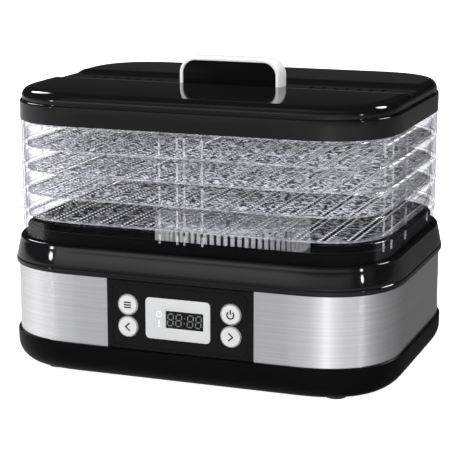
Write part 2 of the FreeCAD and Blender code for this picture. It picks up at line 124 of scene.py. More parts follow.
# ---- nodes --------------------------------------------------------------------------------
def feed(tree, node, inputs):
    """Gives each named or numbered input a socket or a constant."""
    for key, value in inputs.items():
        if isinstance(value, bpy.types.NodeSocket):
            tree.links.new(value, node.inputs[key])
        else:
            node.inputs[key].default_value = value


def add(tree, kind, inputs=(), **settings):
    """Adds a node with these inputs and properties."""
    node = tree.nodes.new(kind)
    for name, value in settings.items():
        setattr(node, name, value)
    feed(tree, node, dict(inputs))
    return node


def maths(tree, operation, *values):
    return add(tree, "ShaderNodeMath", enumerate(values), operation=operation).outputs[0]


def spread(tree, value, low, high, start=0.3, stop=0.7, interpolation="LINEAR"):
    """Maps a value, usually noise, to a range."""
    return add(tree, "ShaderNodeMapRange", {
        "Value": value, "From Min": start, "From Max": stop, "To Min": low, "To Max": high,
    }, interpolation_type=interpolation).outputs["Result"]


def mixed(tree, share, first, second):
    """A colour between two others; each is a socket or four numbers."""
    return add(tree, "ShaderNodeMix", {"Factor": share, 6: first, 7: second}, data_type="RGBA").outputs[2]


def noise(tree, scale, stretch=(1, 1, 1), detail=4.0, source="Object"):
    """Noise on the object's own coordinates, scaled along each axis."""
    where = add(tree, "ShaderNodeTexCoord").outputs[source]
    scaled = add(tree, "ShaderNodeMapping", {"Scale": stretch, "Vector": where}).outputs["Vector"]
    inputs = {"Scale": scale, "Detail": detail, "Vector": scaled}
    return add(tree, "ShaderNodeTexNoise", inputs).outputs["Fac"]


# ---- materials ----------------------------------------------------------------------------
def new_material(name):
    """A material, its node tree and its Principled node."""
    material = bpy.data.materials.new(name)
    material.use_nodes = True
    return material, material.node_tree, material.node_tree.nodes["Principled BSDF"]


def bump(tree, shader, value, strength, distance):
    relief = add(tree, "ShaderNodeBump", {"Strength": strength, "Distance": distance, "Height": value})
    feed(tree, shader, {"Normal": relief.outputs["Normal"]})


def tint(tree, shader, value, dark, light):
    """Colour that drifts between two shades."""
    feed(tree, shader, {"Base Color": mixed(tree, value, (*dark, 1), (*light, 1))})


def shaded(colour, factor):
    return tuple(min(1.0, channel * factor) for channel in colour)


def moulded_plastic(name, colour, rough, grain=0.0, ior=1.45):
    """Moulded plastic: faint flow marks in colour and gloss, and an optional fine texture."""
    material, tree, shader = new_material(name)
    tint(tree, shader, noise(tree, 24.0, detail=3.0), shaded(colour, 0.85), shaded(colour, 1.15))
    fine = noise(tree, 900.0, detail=6.0)
    feed(tree, shader, {"Roughness": spread(tree, fine, rough * 0.8, rough * 1.25), "IOR": ior})
    if grain:
        bump(tree, shader, fine, grain, 0.0002)
    else:
        bump(tree, shader, noise(tree, 60.0, detail=2.0), 0.02, 0.0005)
    return material


def brushed_steel():
    """Steel brushed along the band: fine lines that run round the base."""
    material, tree, shader = new_material("brushed steel")
    lines = noise(tree, 1.0, stretch=(9.0, 3200.0, 1.0), source="UV")
    broad = noise(tree, 1.0, stretch=(4.0, 700.0, 1.0), detail=3.0, source="UV")
    both = maths(tree, "MULTIPLY", maths(tree, "ADD", lines, broad), 0.5)
    steel = tuple(colours().steel)
    tint(tree, shader, spread(tree, both, 0.0, 1.0), shaded(steel, 0.90), shaded(steel, 1.08))
    along = add(tree, "ShaderNodeTangent", direction_type="UV_MAP", uv_map="brushing")
    feed(tree, shader, {
        "Metallic": 1.0, "Roughness": spread(tree, lines, 0.17, 0.24), "Anisotropic": 0.8,
        "Anisotropic Rotation": 0.25, "Tangent": along.outputs["Tangent"]})
    bump(tree, shader, lines, 0.03, 0.0001)
    return material


def see_through(tree, share, solid, clear):
    """Mixes a solid shader over a clear pane; lamps shine straight through both."""
    pane = add(tree, "ShaderNodeBsdfTransparent", {"Color": clear})
    ray = add(tree, "ShaderNodeLightPath").outputs
    seen = maths(tree, "SUBTRACT", 1.0, maths(tree, "MAXIMUM", ray["Is Shadow Ray"], ray["Is Diffuse Ray"]))
    mix = add(tree, "ShaderNodeMixShader", {
        0: maths(tree, "MULTIPLY", share, seen), 1: pane.outputs[0], 2: solid.outputs[0]})
    feed(tree, tree.nodes["Material Output"], {"Surface": mix.outputs[0]})


def clear_wall():
    """Thin clear moulding: nearly invisible face on, darker and mirror-like where it turns away; the darkening
    is painted shade in its see-through tint.
    """
    material, tree, shader = new_material("clear wall")
    tree.nodes.remove(shader)
    clear = tuple(colours().clear)
    facing = add(tree, "ShaderNodeLayerWeight", {"Blend": 0.5}).outputs["Facing"]
    # painted shade: the see-through tint darkens towards grazing angles
    edge = mixed(tree, maths(tree, "POWER", facing, 6.0), (*clear, 1), (*shaded(clear, 0.42), 1))
    mirror = add(tree, "ShaderNodeBsdfAnisotropic", {
        "Roughness": spread(tree, noise(tree, 90.0, detail=3.0), 0.05, 0.15)})
    bump(tree, mirror, noise(tree, 320.0, detail=2.0), 0.25, 0.0005)
    sheen = add(tree, "ShaderNodeFresnel", {"IOR": 1.35}).outputs[0]
    see_through(tree, maths(tree, "MULTIPLY", sheen, 0.10), mirror, edge)
    return material


def clear_lattice(name, share):
    """The same plastic where it is finely moulded: painted highlights, as bright lines along the bars, over
    painted deep shade.
    """
    material, tree, shader = new_material(name)
    fine = noise(tree, 650.0, stretch=(0.4, 1.0, 1.5), detail=3.0)
    normal = add(tree, "ShaderNodeNewGeometry").outputs["Normal"]
    split = add(tree, "ShaderNodeSeparateXYZ", {0: normal})
    # painted light from above: faces that look up get a lighter colour
    lit = maths(tree, "MULTIPLY", split.outputs["Z"], 0.10)
    # painted glints and shade: noise turns the clear plastic's colour near-black or near-white
    painted_glints = add(tree, "ShaderNodeValToRGB", {0: maths(tree, "ADD", fine, lit)})
    stops = painted_glints.color_ramp.elements
    stops[0].position, stops[0].color = 0.49, (0.012, 0.012, 0.014, 1)
    stops[1].position, stops[1].color = 0.57, (0.93, 0.93, 0.95, 1)
    feed(tree, shader, {"Base Color": painted_glints.outputs[0], "Roughness": 0.12})
    bump(tree, shader, fine, 0.4, 0.0004)
    see_through(tree, share, shader, PANE)
    return material


def clear_rib():
    """The same plastic in thick ribs and rims, where it gathers light: painted light and shade in patches."""
    material, tree, shader = new_material("clear rib")
    painted_light_and_bump = noise(tree, 210.0, detail=3.0)
    # painted light and shade: patches of near-white and dark grey in the clear plastic's colour
    tint(tree, shader, spread(tree, painted_light_and_bump, 0.0, 1.0), (0.25, 0.25, 0.27), (0.97, 0.97, 0.98))
    feed(tree, shader, {"Roughness": 0.1})
    bump(tree, shader, painted_light_and_bump, 0.2, 0.0004)
    see_through(tree, 0.28, shader, PANE)
    return material


def plain_metal(name, colour, rough, stretch):
    """Rolled or plated metal with faint drawn lines."""
    material, tree, shader = new_material(name)
    lines = noise(tree, 180.0, stretch=stretch)
    tint(tree, shader, lines, shaded(colour, 0.85), shaded(colour, 1.1))
    feed(tree, shader, {"Metallic": 1.0, "Roughness": spread(tree, lines, rough * 0.8, rough * 1.3)})
    bump(tree, shader, lines, 0.1, 0.0001)
    return material


def circuit_board():
    """Green solder mask with paler copper runs."""
    material, tree, shader = new_material("circuit board")
    runs = add(tree, "ShaderNodeTexBrick", {
        "Scale": 160.0, "Mortar Size": 0.035, "Color1": (0.01, 0.10, 0.04, 1),
        "Color2": (0.012, 0.12, 0.05, 1), "Mortar": (0.05, 0.22, 0.09, 1),
        "Vector": add(tree, "ShaderNodeTexCoord").outputs["Object"]})
    feed(tree, shader, {
        "Base Color": runs.outputs["Color"], "Roughness": spread(tree, noise(tree, 400.0), 0.25, 0.4)})
    return material


MATERIALS = {}


def make_materials():
    black, white = tuple(colours().black), tuple(colours().white)
    plastics = {
        "gloss black": (black, 0.06, 0.0, 1.38),
        "satin black": (shaded(black, 0.45), 0.35, 0.10, 1.13),
        "panel black": (shaded(black, 0.9), 0.28, 0.04, 1.25),
        "white plastic": (white, 0.22),
        "button white": (shaded(white, 0.61), 0.35, 0.05),
        "bezel grey": ((0.30, 0.30, 0.315), 0.3),
        "frame grey": ((0.50, 0.503, 0.507), 0.35, 0.04),
        "ink": ((0.012, 0.012, 0.014), 0.6, 0.1, 1.2),
        "pale ink": ((0.85, 0.85, 0.86), 0.5, 0.1),
        "lens": ((0.005, 0.005, 0.005), 0.12, 0.0, 1.28),
        "unlit segment": ((0.15, 0.15, 0.15), 0.4, 0.1),
        "rubber": ((0.02, 0.02, 0.02), 0.6, 0.4),
        # the clear pips are coloured near-white as a painted highlight
        "painted highlight pip": ((0.97, 0.97, 0.98), 0.2),
        "mica": ((0.55, 0.47, 0.34), 0.4, 0.2),
        "blue part": ((0.03, 0.09, 0.30), 0.35),
        "black part": ((0.03, 0.03, 0.03), 0.4, 0.1),
    }
    MATERIALS.update({name: moulded_plastic(name, *values) for name, values in plastics.items()})
    MATERIALS.update({
        "brushed steel": brushed_steel(),
        "clear wall": clear_wall(),
        "clear lattice": clear_lattice("clear lattice", 0.55),
        "low lattice": clear_lattice("low lattice", 0.27),
        "clear rib": clear_rib(),
        "zinc": plain_metal("zinc", (0.55, 0.55, 0.56), 0.3, (1, 1, 20)),
        "heater wire": plain_metal("heater wire", (0.35, 0.31, 0.28), 0.45, (1, 1, 4)),
        "circuit board": circuit_board(),
    })


CAD_FINISH = {
    "rubber_feet": "rubber", "cord_gland": "rubber", "base_screws": "zinc", "board_screws": "zinc",
    "bracket_screws": "zinc", "handle_screws": "zinc", "air_duct": "zinc", "motor_bracket": "zinc",
    "fan_motor": "zinc", "motor_shaft": "zinc", "fan_clip": "zinc", "transformer": "zinc",
    "fan_impeller": "satin black", "temperature_sensor": "black part", "thermal_fuse": "white plastic",
    "display_module": "black part", "tact_switches": "black part", "control_board": "circuit board",
    "power_board": "circuit board", "relay": "blue part", "filter_capacitor": "blue part",
    "mains_terminal": "blue part", "heater_frame": "mica", "heater_coils": "heater wire",
}


def finish_cad_nodes():
    """Gives each carried-over CAD piece its own finish."""
    for name, finish in CAD_FINISH.items():
        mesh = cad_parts[name].data
        mesh.materials.clear()
        mesh.materials.append(MATERIALS[finish])


# ---- the plan: a rounded rectangle with full corners --------------------------------------
CORNER_STEPS = 18
SIDE_STEPS = 46
FRONT_STEPS = 54


def corner(steps):
    """Points and outward normals of one corner, from the side round to the back, before placing."""
    reach, power = sizes().corner_reach, sizes().corner_fullness
    made = []
    for step in range(steps + 1):
        turn = math.pi / 2 * step / steps
        c, s = max(math.cos(turn), 0.0), max(math.sin(turn), 0.0)
        point = Vector((BAND_HIGH.x - reach + reach * c ** (2 / power),
                        BAND_HIGH.y - reach + reach * s ** (2 / power)))
        normal = Vector((c ** (2 - 2 / power), s ** (2 - 2 / power))).normalized()
        made.append((point, normal))
    return made


def plan():
    """The plan as points and normals: right chain, back, left chain and front, anticlockwise."""
    back_right = corner(CORNER_STEPS)
    front_right = [(Vector((p.x, -p.y)), Vector((n.x, -n.y))) for p, n in reversed(back_right)]
    low_end, high_end = front_right[-1][0], back_right[0][0]
    side = []
    for step in range(1, SIDE_STEPS):
        side.append((low_end.lerp(high_end, step / SIDE_STEPS), Vector((1.0, 0.0))))
    right = front_right + side + back_right
    left = [(Vector((-p.x, p.y)), Vector((-n.x, n.y))) for p, n in right]
    back, front = [], []
    for step in range(1, FRONT_STEPS):
        share = step / FRONT_STEPS
        back.append((right[-1][0].lerp(left[-1][0], share), Vector((0.0, 1.0))))
        front.append((left[0][0].lerp(right[0][0], share), Vector((0.0, -1.0))))
    return right + back + left[::-1] + front


def row_count():
    return 2 * (CORNER_STEPS + 1) + SIDE_STEPS - 1


def ring_at(inset, z):
    """The plan as a ring of points, this far inside the band and at this height."""
    return [Vector((p.x - n.x * inset, p.y - n.y * inset, z)) for p, n in plan()]


def reach_at(points, height):
    """Half the ring's width at one depth, read along its right chain."""
    chain = points[:row_count()]
    for a, b in zip(chain, chain[1:]):
        if a.y <= height <= b.y and b.y > a.y:
            return a.x + (b.x - a.x) * (height - a.y) / (b.y - a.y)
    return chain[0].x


def depth_at(points, across):
    """Half the ring's depth at one distance from the middle."""
    chain = points[row_count() // 2:row_count()]
    if abs(across) <= chain[-1].x:
        return chain[-1].y
    for a, b in zip(chain, chain[1:]):
        if b.x <= abs(across) <= a.x and a.x > b.x:
            return a.y + (b.y - a.y) * (a.x - abs(across)) / (a.x - b.x)
    return chain[0].y


# ---- mesh helpers -------------------------------------------------------------------------
def arc(centre_inset, centre_z, radius, start, stop, steps=6):
    """Profile points on an arc. 0 degrees points outwards and 90 points up."""
    made = []
    for step in range(steps + 1):
        turn = math.radians(start + (stop - start) * step / steps)
        made.append((centre_inset - radius * math.cos(turn), centre_z + radius * math.sin(turn)))
    return made


def add_ring(mesh, points):
    return [mesh.verts.new(point) for point in points]


def join(mesh, first, second):
    """Quads between two rings of the same count."""
    count = len(first)
    for k in range(count):
        mesh.faces.new((first[k], first[(k + 1) % count], second[(k + 1) % count], second[k]))


def fill(mesh, ring):
    """Closes a plan ring with rows that run across it."""
    rows, columns = row_count(), FRONT_STEPS
    right = ring[:rows]
    back = ring[rows:rows + columns - 1]
    left = ring[rows + columns - 1:2 * rows + columns - 1][::-1]
    front = ring[2 * rows + columns - 1:]
    lines = [[left[0], *front, right[0]]]
    for k in range(1, rows - 1):
        line = [left[k]]
        for column in range(1, columns):
            line.append(mesh.verts.new(left[k].co.lerp(right[k].co, column / columns)))
        lines.append([*line, right[k]])
    lines.append([left[-1], *back[::-1], right[-1]])
    for low, high in zip(lines, lines[1:]):
        for k in range(columns):
            mesh.faces.new((low[k], low[k + 1], high[k + 1], high[k]))


def stack(rings, closed=False, caps=True):
    """Joins rings of points in turn. The ends are capped, or joined to each other if it is closed."""
    mesh = bmesh.new()
    made = [add_ring(mesh, ring) for ring in rings]
    for first, second in zip(made, made[1:] + made[:1] if closed else made[1:]):
        join(mesh, first, second)
    if caps and not closed:
        mesh.faces.new(made[0])
        mesh.faces.new(made[-1])
    return mesh, made


def shell(profile, closed=True):
    """A wall that follows the plan: the profile is (inset, z) points, in metres."""
    return stack([ring_at(inset, z) for inset, z in profile], closed, caps=False)


def lathe(points, steps=64, axis="Z", centre=(0, 0, 0), closed=False):
    """A turned piece: (radius, height) points from its lower middle to its upper middle."""
    turns = [2 * math.pi * k / steps for k in range(steps)]
    mesh, _ = stack([
        [Vector((radius * math.cos(turn), radius * math.sin(turn), height)) for turn in turns]
        for radius, height in points], closed)
    if axis == "-Y":
        mesh.transform(Matrix.Rotation(math.radians(90), 4, "X"))
    mesh.transform(Matrix.Translation(centre))
    return mesh


def rounded_ring(half_x, half_z, radius, centre_x, y, centre_z, steps=6):
    """An upright rounded rectangle that faces the front."""
    made = []
    for side_x, side_z, start in ((1, 1, 0), (-1, 1, 90), (-1, -1, 180), (1, -1, 270)):
        for step in range(steps + 1):
            turn = math.radians(start + 90 * step / steps)
            made.append(Vector((
                centre_x + side_x * (half_x - radius) + radius * math.cos(turn), y,
                centre_z + side_z * (half_z - radius) + radius * math.sin(turn))))
    return made


def box_mesh(mesh, low, high):
    made = bmesh.ops.create_cube(mesh, size=1.0)["verts"]
    low, high = Vector(low), Vector(high)
    for vert in made:
        vert.co = Vector([low[k] + (vert.co[k] + 0.5) * (high[k] - low[k]) for k in range(3)])
    return made


def soften(mesh, angle=32.0):
    """Smooth shading, with hard edges where the surface turns sharply."""
    limit = math.radians(angle)
    for face in mesh.faces:
        face.smooth = True
    for edge in mesh.edges:
        edge.smooth = len(edge.link_faces) == 2 and edge.calc_face_angle(0.0) < limit


def merge(mesh, part):
    """Moves one bmesh into another."""
    data = bpy.data.meshes.new("part")
    part.to_mesh(data)
    part.free()
    mesh.from_mesh(data)
    bpy.data.meshes.remove(data)


def show(data, name, material):
    """An object of this mesh in the scene, with one material."""
    piece = bpy.data.objects.new(name, data)
    bpy.context.scene.collection.objects.link(piece)
    data.materials.append(material)
    return piece


def as_object(mesh, name, finish, angle=32.0):
    """Turns a bmesh into an object with one material, its faces pointing outwards."""
    bmesh.ops.remove_doubles(mesh, verts=mesh.verts, dist=1e-6)
    bmesh.ops.recalc_face_normals(mesh, faces=mesh.faces)
    soften(mesh, angle)
    data = bpy.data.meshes.new(name)
    mesh.to_mesh(data)
    mesh.free()
    return show(data, name, MATERIALS[finish])


def place(piece, body, slot, *replaced):
    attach(piece, body)
    if replaced:
        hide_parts(*replaced)
    return piece


def bake_modifiers(piece, angle=None):
    """Applies every modifier, so that the piece is a plain mesh."""
    graph = bpy.context.evaluated_depsgraph_get()
    graph.update()
    made = bpy.data.meshes.new_from_object(piece.evaluated_get(graph))
    piece.modifiers.clear()
    piece.data = made
    if angle is not None:
        mesh = bmesh.new()
        mesh.from_mesh(made)
        soften(mesh, angle)
        mesh.to_mesh(made)
        mesh.free()
    return piece


def cut_away(piece, cutter, angle=32.0):
    """Cuts one mesh out of another and deletes the cutter."""
    modifier = piece.modifiers.new("cut", "BOOLEAN")
    modifier.operation = "DIFFERENCE"
    modifier.solver = "EXACT"
    modifier.object = cutter
    bake_modifiers(piece, angle)
    bpy.data.objects.remove(cutter)
    return piece


# ---- geometry node trees ------------------------------------------------------------------
def new_tree(name, **kinds):
    """A geometry node tree and its input sockets: Geometry, these named ones and Material."""
    tree = bpy.data.node_groups.new(name, "GeometryNodeTree")
    for label, kind in {"Geometry": "Geometry", **kinds, "Material": "Material"}.items():
        tree.interface.new_socket(label, in_out="INPUT", socket_type="NodeSocket" + kind)
    tree.interface.new_socket("Geometry", in_out="OUTPUT", socket_type="NodeSocketGeometry")
    return tree, add(tree, "NodeGroupInput").outputs


def end_tree(tree, geometry, finish):
    """Every tree ends in real geometry with its material set."""
    real = add(tree, "GeometryNodeRealizeInstances", {"Geometry": geometry})
    dress = add(tree, "GeometryNodeSetMaterial", {"Geometry": real.outputs[0], "Material": finish})
    add(tree, "NodeGroupOutput", {"Geometry": dress.outputs[0]})
    return tree


def use_tree(piece, tree, **values):
    """Adds the tree as a modifier and sets its inputs by their socket identifiers."""
    modifier = piece.modifiers.new(tree.name, "NODES")
    modifier.node_group = tree
    for item in tree.interface.items_tree:
        if item.in_out == "INPUT" and item.name in values:
            modifier[item.identifier] = values[item.name]
    return modifier


def bar_tree():
    """Gives every edge of a wire drawing a flat oval section."""
    tree, given = new_tree("Bars", Width="Float", Height="Float", Sides="Int")
    size = add(tree, "ShaderNodeCombineXYZ", {"X": given["Width"], "Y": given["Height"], "Z": 1.0})
    circle = add(tree, "GeometryNodeCurvePrimitiveCircle", {"Radius": 0.5, "Resolution": given["Sides"]})
    oval = add(tree, "GeometryNodeTransform", {"Geometry": circle.outputs["Curve"], "Scale": size.outputs[0]})
    path = add(tree, "GeometryNodeMeshToCurve", {"Mesh": given["Geometry"]})
    sweep = add(tree, "GeometryNodeCurveToMesh", {
        "Fill Caps": True, "Curve": path.outputs["Curve"], "Profile Curve": oval.outputs["Geometry"]})
    return end_tree(tree, sweep.outputs["Mesh"], given["Material"])


def pip_tree():
    """A small flattened ball on every point."""
    tree, given = new_tree("Pips", Radius="Float", Height="Float")
    points = add(tree, "GeometryNodeMeshToPoints", {"Mesh": given["Geometry"]})
    ball = add(tree, "GeometryNodeMeshIcoSphere", {"Subdivisions": 2, "Radius": given["Radius"]})
    size = add(tree, "ShaderNodeCombineXYZ", {"X": 1.0, "Y": 1.0, "Z": given["Height"]})
    copies = add(tree, "GeometryNodeInstanceOnPoints", {
        "Points": points.outputs["Points"], "Instance": ball.outputs["Mesh"], "Scale": size.outputs[0]})
    return end_tree(tree, copies.outputs["Instances"], given["Material"])


def ring_of_copies_tree():
    """Copies of the input stand round a circle, each turned to face outwards."""
    tree, given = new_tree("Ring of copies", Count="Int", Radius="Float")
    circle = add(tree, "GeometryNodeMeshCircle", {"Vertices": given["Count"], "Radius": given["Radius"]})
    share = maths(tree, "DIVIDE", add(tree, "GeometryNodeInputIndex").outputs["Index"], given["Count"])
    spin = add(tree, "ShaderNodeCombineXYZ", {"Z": maths(tree, "MULTIPLY", share, 2 * math.pi)})
    copies = add(tree, "GeometryNodeInstanceOnPoints", {
        "Points": circle.outputs["Mesh"], "Instance": given["Geometry"], "Rotation": spin.outputs[0]})
    return end_tree(tree, copies.outputs["Instances"], given["Material"])


def row_of_copies_tree():
    """Copies of the input in a straight row along X."""
    tree, given = new_tree("Row of copies", Count="Int", Pitch="Float")
    step = add(tree, "ShaderNodeCombineXYZ", {"X": given["Pitch"]})
    line = add(tree, "GeometryNodeMeshLine", mode="OFFSET")
    feed(tree, line, {"Count": given["Count"], "Offset": step.outputs[0]})
    copies = add(tree, "GeometryNodeInstanceOnPoints", {
        "Points": line.outputs["Mesh"], "Instance": given["Geometry"]})
    return end_tree(tree, copies.outputs["Instances"], given["Material"])


TREES = {}


# ---- base ---------------------------------------------------------------------------------
def make_pan():
    """The pan under the base, with a rolled bottom edge and the fan's intake slots."""
    proud = PAN_HIGH.x - BAND_HIGH.x
    roll, thick, wall = 18 * MM, 2.5 * MM, 2.0 * MM
    low, top = PAN_LOW.z, PAN_HIGH.z
    outer = arc(roll - proud, low + roll, roll, -90, 0, 10)
    lip = arc(0.6 * MM - proud, top - 0.6 * MM, 0.6 * MM, 0, 90, 4)
    inner = arc(wall + roll - thick, low + roll, roll - thick, 0, -90, 8)
    mesh, rings = shell([*outer, *lip, (wall, top), *inner], closed=False)
    fill(mesh, rings[0])
    fill(mesh, rings[-1])
    pan = as_object(mesh, "pan_shell", "satin black")
    slots = bmesh.new()
    reach, pitch, spine, half_slot = 54 * MM, 9 * MM, 3 * MM, 2 * MM
    for row in range(-5, 6):
        y = row * pitch
        half = math.sqrt(reach ** 2 - y ** 2)
        for x0, x1 in ((-half, -spine), (spine, half)):
            box_mesh(slots, (x0, y - half_slot, low - 1 * MM), (x1, y + half_slot, low + 4 * MM))
    cut_away(pan, as_object(slots, "intake cutter", "satin black"))
    place(pan, "base", "black_satin", "bottom_pan")


def make_band():
    """The brushed strip, open at the front where the control panel sits."""
    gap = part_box("control_panel")[1].x + 0.3 * MM
    points, split = plan(), 2 * row_count() + FRONT_STEPS - 1
    right = [pair for pair in points[split:] if pair[0].x > gap]
    left = [pair for pair in points[split:] if pair[0].x < -gap]
    start, stop = ((Vector((x, -BAND_HIGH.y)), Vector((0, -1))) for x in (gap, -gap))
    path = [start, *right, *points[:split], *left, stop]
    low, high, thick, edge = BAND_LOW.z, BAND_HIGH.z, 0.6 * MM, 0.15 * MM
    profile = [(thick, low), (edge, low), (0, low + edge), (0, high - edge), (edge, high), (thick, high)]
    mesh = bmesh.new()
    layer = mesh.loops.layers.uv.new("brushing")
    lengths = [0.0]
    for (before, _), (after, _) in zip(path, path[1:]):
        lengths.append(lengths[-1] + (after - before).length)
    columns = [[mesh.verts.new((point.x - normal.x * inset, point.y - normal.y * inset, z))
                for inset, z in profile] for point, normal in path]
    for k, (first, second) in enumerate(zip(columns, columns[1:])):
        for j in range(len(profile)):
            after = (j + 1) % len(profile)
            face = mesh.faces.new((first[j], second[j], second[after], first[after]))
            for loop, along in zip(face.loops, (k, k + 1, k + 1, k)):
                loop[layer].uv = (lengths[along], loop.vert.co.z)
    mesh.faces.new(columns[0])
    mesh.faces.new(columns[-1][::-1])
    band = as_object(mesh, "brushed_band", "brushed steel")
    cord_hole, radius = (95 * MM, BAND_HIGH.y + 10 * MM, 46 * MM), 6.2 * MM
    cutter = lathe([(radius, 0), (radius, 20 * MM)], 40, "-Y", cord_hole)
    cut_away(band, as_object(cutter, "band cutter", "brushed steel"))
    place(band, "base", "brushed_steel", "steel_band")


def make_housing():
    """Shoulder, ledge, collar and well in one moulding."""
    proud = HOUSING_HIGH.x - BAND_HIGH.x
    low = HOUSING_LOW.z + 18 * MM          # the wall starts above its hanging screw bosses
    lip_low, lip_top, facet_top, ledge = 88 * MM, 92.5 * MM, 108.5 * MM, 110.5 * MM
    collar, floor = HOUSING_HIGH.z, 94 * MM
    skin, thick = 0.8 * MM, 2.2 * MM
    profile = [(skin + thick, low), (skin, low), (skin, lip_low), (0.6 * MM - proud, lip_low)]
    profile += arc(0.6 * MM - proud, lip_low + 0.6 * MM, 0.6 * MM, -90, 0, 3)
    profile += arc(1.2 * MM - proud, lip_top - 1.2 * MM, 1.2 * MM, 0, 60, 4)
    start, stop = 0.75 * MM - proud, 1.6 * MM
    profile += [(0.8 * MM - proud, lip_top + 0.1 * MM)]
    for step in range(9):                  # the facet leans back more and more towards its top
        share = step / 8
        profile.append((start + (stop - start) * share * (0.72 + 0.28 * share),
                        lip_top + 0.6 * MM + (facet_top - lip_top - 1.0 * MM) * share))
    profile += arc(3.5 * MM, facet_top, 1.9 * MM, 20, 90, 6)
    profile += [(7.4 * MM, ledge), (7.6 * MM, ledge - 0.5 * MM), (8.0 * MM, ledge - 0.5 * MM)]
    profile += arc(9.2 * MM, collar - 1.2 * MM, 1.2 * MM, 0, 90, 5)
    profile += arc(9.9 * MM, collar - 1.1 * MM, 1.1 * MM, 90, 180, 5)
    profile += arc(15 * MM, floor + 4 * MM, 4 * MM, 0, -90, 6)
    mesh, rings = shell(profile, closed=False)
    hole = 58.5 * MM
    rim = [Vector(vert.co.xy).normalized() * hole for vert in rings[-1]]
    mouth = [add_ring(mesh, [Vector((*spot, z)) for spot in rim]) for z in (floor, floor - thick)]
    around = [rings[-1], *mouth, add_ring(mesh, ring_at(skin + thick, floor - thick)), rings[0]]
    for first, second in zip(around, around[1:]):
        join(mesh, first, second)
    housing = as_object(mesh, "shoulder_housing", "gloss black")
    housing.data.materials.append(MATERIALS["satin black"])
    for face in housing.data.polygons:     # the collar that the trays sit round is satin
        if face.center.z > ledge + 0.2 * MM:
            face.material_index = 1
    opening = bmesh.new()
    box_mesh(opening, (-55.5 * MM, -130 * MM, 36 * MM), (55.5 * MM, -115 * MM, 82 * MM))
    cut_away(housing, as_object(opening, "housing cutter", "gloss black"))
    place(housing, "base", "black_gloss", "upper_housing")


# ---- control panel ------------------------------------------------------------------------
BUTTONS = ("menu_button", "power_button", "left_arrow_button", "right_arrow_button")


def centre_of(name):
    low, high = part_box(name)
    return (low + high) / 2


def make_panel():
    """The black fascia with a fine inset line round its edge."""
    low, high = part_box("control_panel")
    half_x, half_z = high.x, (high.z - low.z) / 2
    middle, front, back = (high.z + low.z) / 2, low.y, -122.25 * MM
    line, depth = 4.8 * MM, 0.35 * MM
    outline = (
        (0, 0, 1.0 * MM, back), (0, 0, 1.0 * MM, front + 0.4 * MM), (0.4 * MM, 0.4 * MM, 0.8 * MM, front),
        *((line + off * MM, (line + off * MM) * 0.65, 3 * MM, y)
          for off, y in ((0, front), (0.1, front + depth), (0.5, front + depth), (0.6, front))))
    rings = [rounded_ring(half_x - in_x, half_z - in_z, bend, 0, y, middle) for in_x, in_z, bend, y in outline]
    panel = as_object(stack(rings)[0], "panel_fascia", "panel black", 25.0)
    cutters = bmesh.new()
    for name in BUTTONS:
        spot, radius = centre_of(name), 8.8 * MM
        merge(cutters, lathe([(radius, 0), (radius, 12 * MM)], 48, "-Y", (spot.x, front + 9 * MM, spot.z)))
    frame_low, frame_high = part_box("display_frame")
    margin = 1.6 * MM
    box_mesh(cutters, (frame_low.x + margin, front - 3 * MM, frame_low.z + margin),
             (frame_high.x - margin, back + 3 * MM, frame_high.z - margin))
    cut_away(panel, as_object(cutters, "panel cutter", "panel black"), 25.0)
    place(panel, "base", "black_gloss", "control_panel")


def make_buttons():
    """Four caps and their grey rings."""
    rings, seat = bmesh.new(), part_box("control_panel")[0].y
    outer, inner, proud = 8.7 * MM, 8.2 * MM, 0.7 * MM
    bezel = [(inner, -3.4 * MM), (inner, 0), (inner + 0.1 * MM, proud), (outer - 0.15 * MM, proud),
             (outer, proud - 0.2 * MM), (outer, -3.4 * MM)]
    for name in BUTTONS:
        spot, front = centre_of(name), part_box(name)[0].y
        radius, tall = 7.9 * MM, 5.2 * MM
        chamfer = 1.1 * MM if spot.z > centre_of("control_panel").z else 0.5 * MM
        edge = [(radius, 0.0), (radius, tall - chamfer), (radius - chamfer * 0.3, tall - chamfer * 0.3),
                (radius - chamfer, tall), (radius - chamfer - 0.4 * MM, 5.18 * MM), (radius * 0.4, 5.0 * MM)]
        stem = [(r * MM, z * MM) for r, z in ((1.8, -5.5), (1.8, -0.9), (8.6, -0.9), (8.6, 0.0))]
        cap = lathe(stem + edge, 72, "-Y", (spot.x, front + tall, spot.z))
        place(as_object(cap, name + "_cap", "button white", 40.0), name, "white_gloss", name)
        merge(rings, lathe(bezel, 64, "-Y", (spot.x, seat, spot.z), closed=True))
    place(as_object(rings, "bezel_rings", "bezel grey", 40.0), "base", "light_grey", "button_bezels")


def stroke(mesh, points, width, y, thick=0.12 * MM, closed=False):
    """A drawn line of constant width on an upright face: points are (x, z)."""
    count = len(points)
    sides = []
    for k in range(count):
        here = Vector(points[k])
        before = Vector(points[k - 1]) if k or closed else here
        after = Vector(points[(k + 1) % count]) if k < count - 1 or closed else here
        first = (here - before).normalized() if before != here else (after - here).normalized()
        second = (after - here).normalized() if after != here else first
        across = Vector((-(first + second).y, (first + second).x)).normalized()
        stretch = 1.0 / max(0.35, across.dot(Vector((-first.y, first.x))))
        offset = across * width / 2 * stretch
        sides.append([mesh.verts.new((p.x, depth, p.y))
                      for p in (here + offset, here - offset) for depth in (y, y - thick)])
    pairs = zip(sides, sides[1:] + sides[:1]) if closed else zip(sides, sides[1:])
    for a, b in pairs:
        for i, j in ((0, 1), (1, 3), (3, 2), (2, 0)):
            mesh.faces.new((a[i], a[j], b[j], b[i]))
    if not closed:
        for end in (sides[0], sides[-1]):
            mesh.faces.new((end[0], end[1], end[3], end[2]))


def arc_points(centre, radius, start, stop, steps):
    made = []
    for k in range(steps + 1):
        turn = math.radians(start + (stop - start) * k / steps)
        made.append((centre[0] + radius * math.cos(turn), centre[1] + radius * math.sin(turn)))
    return made


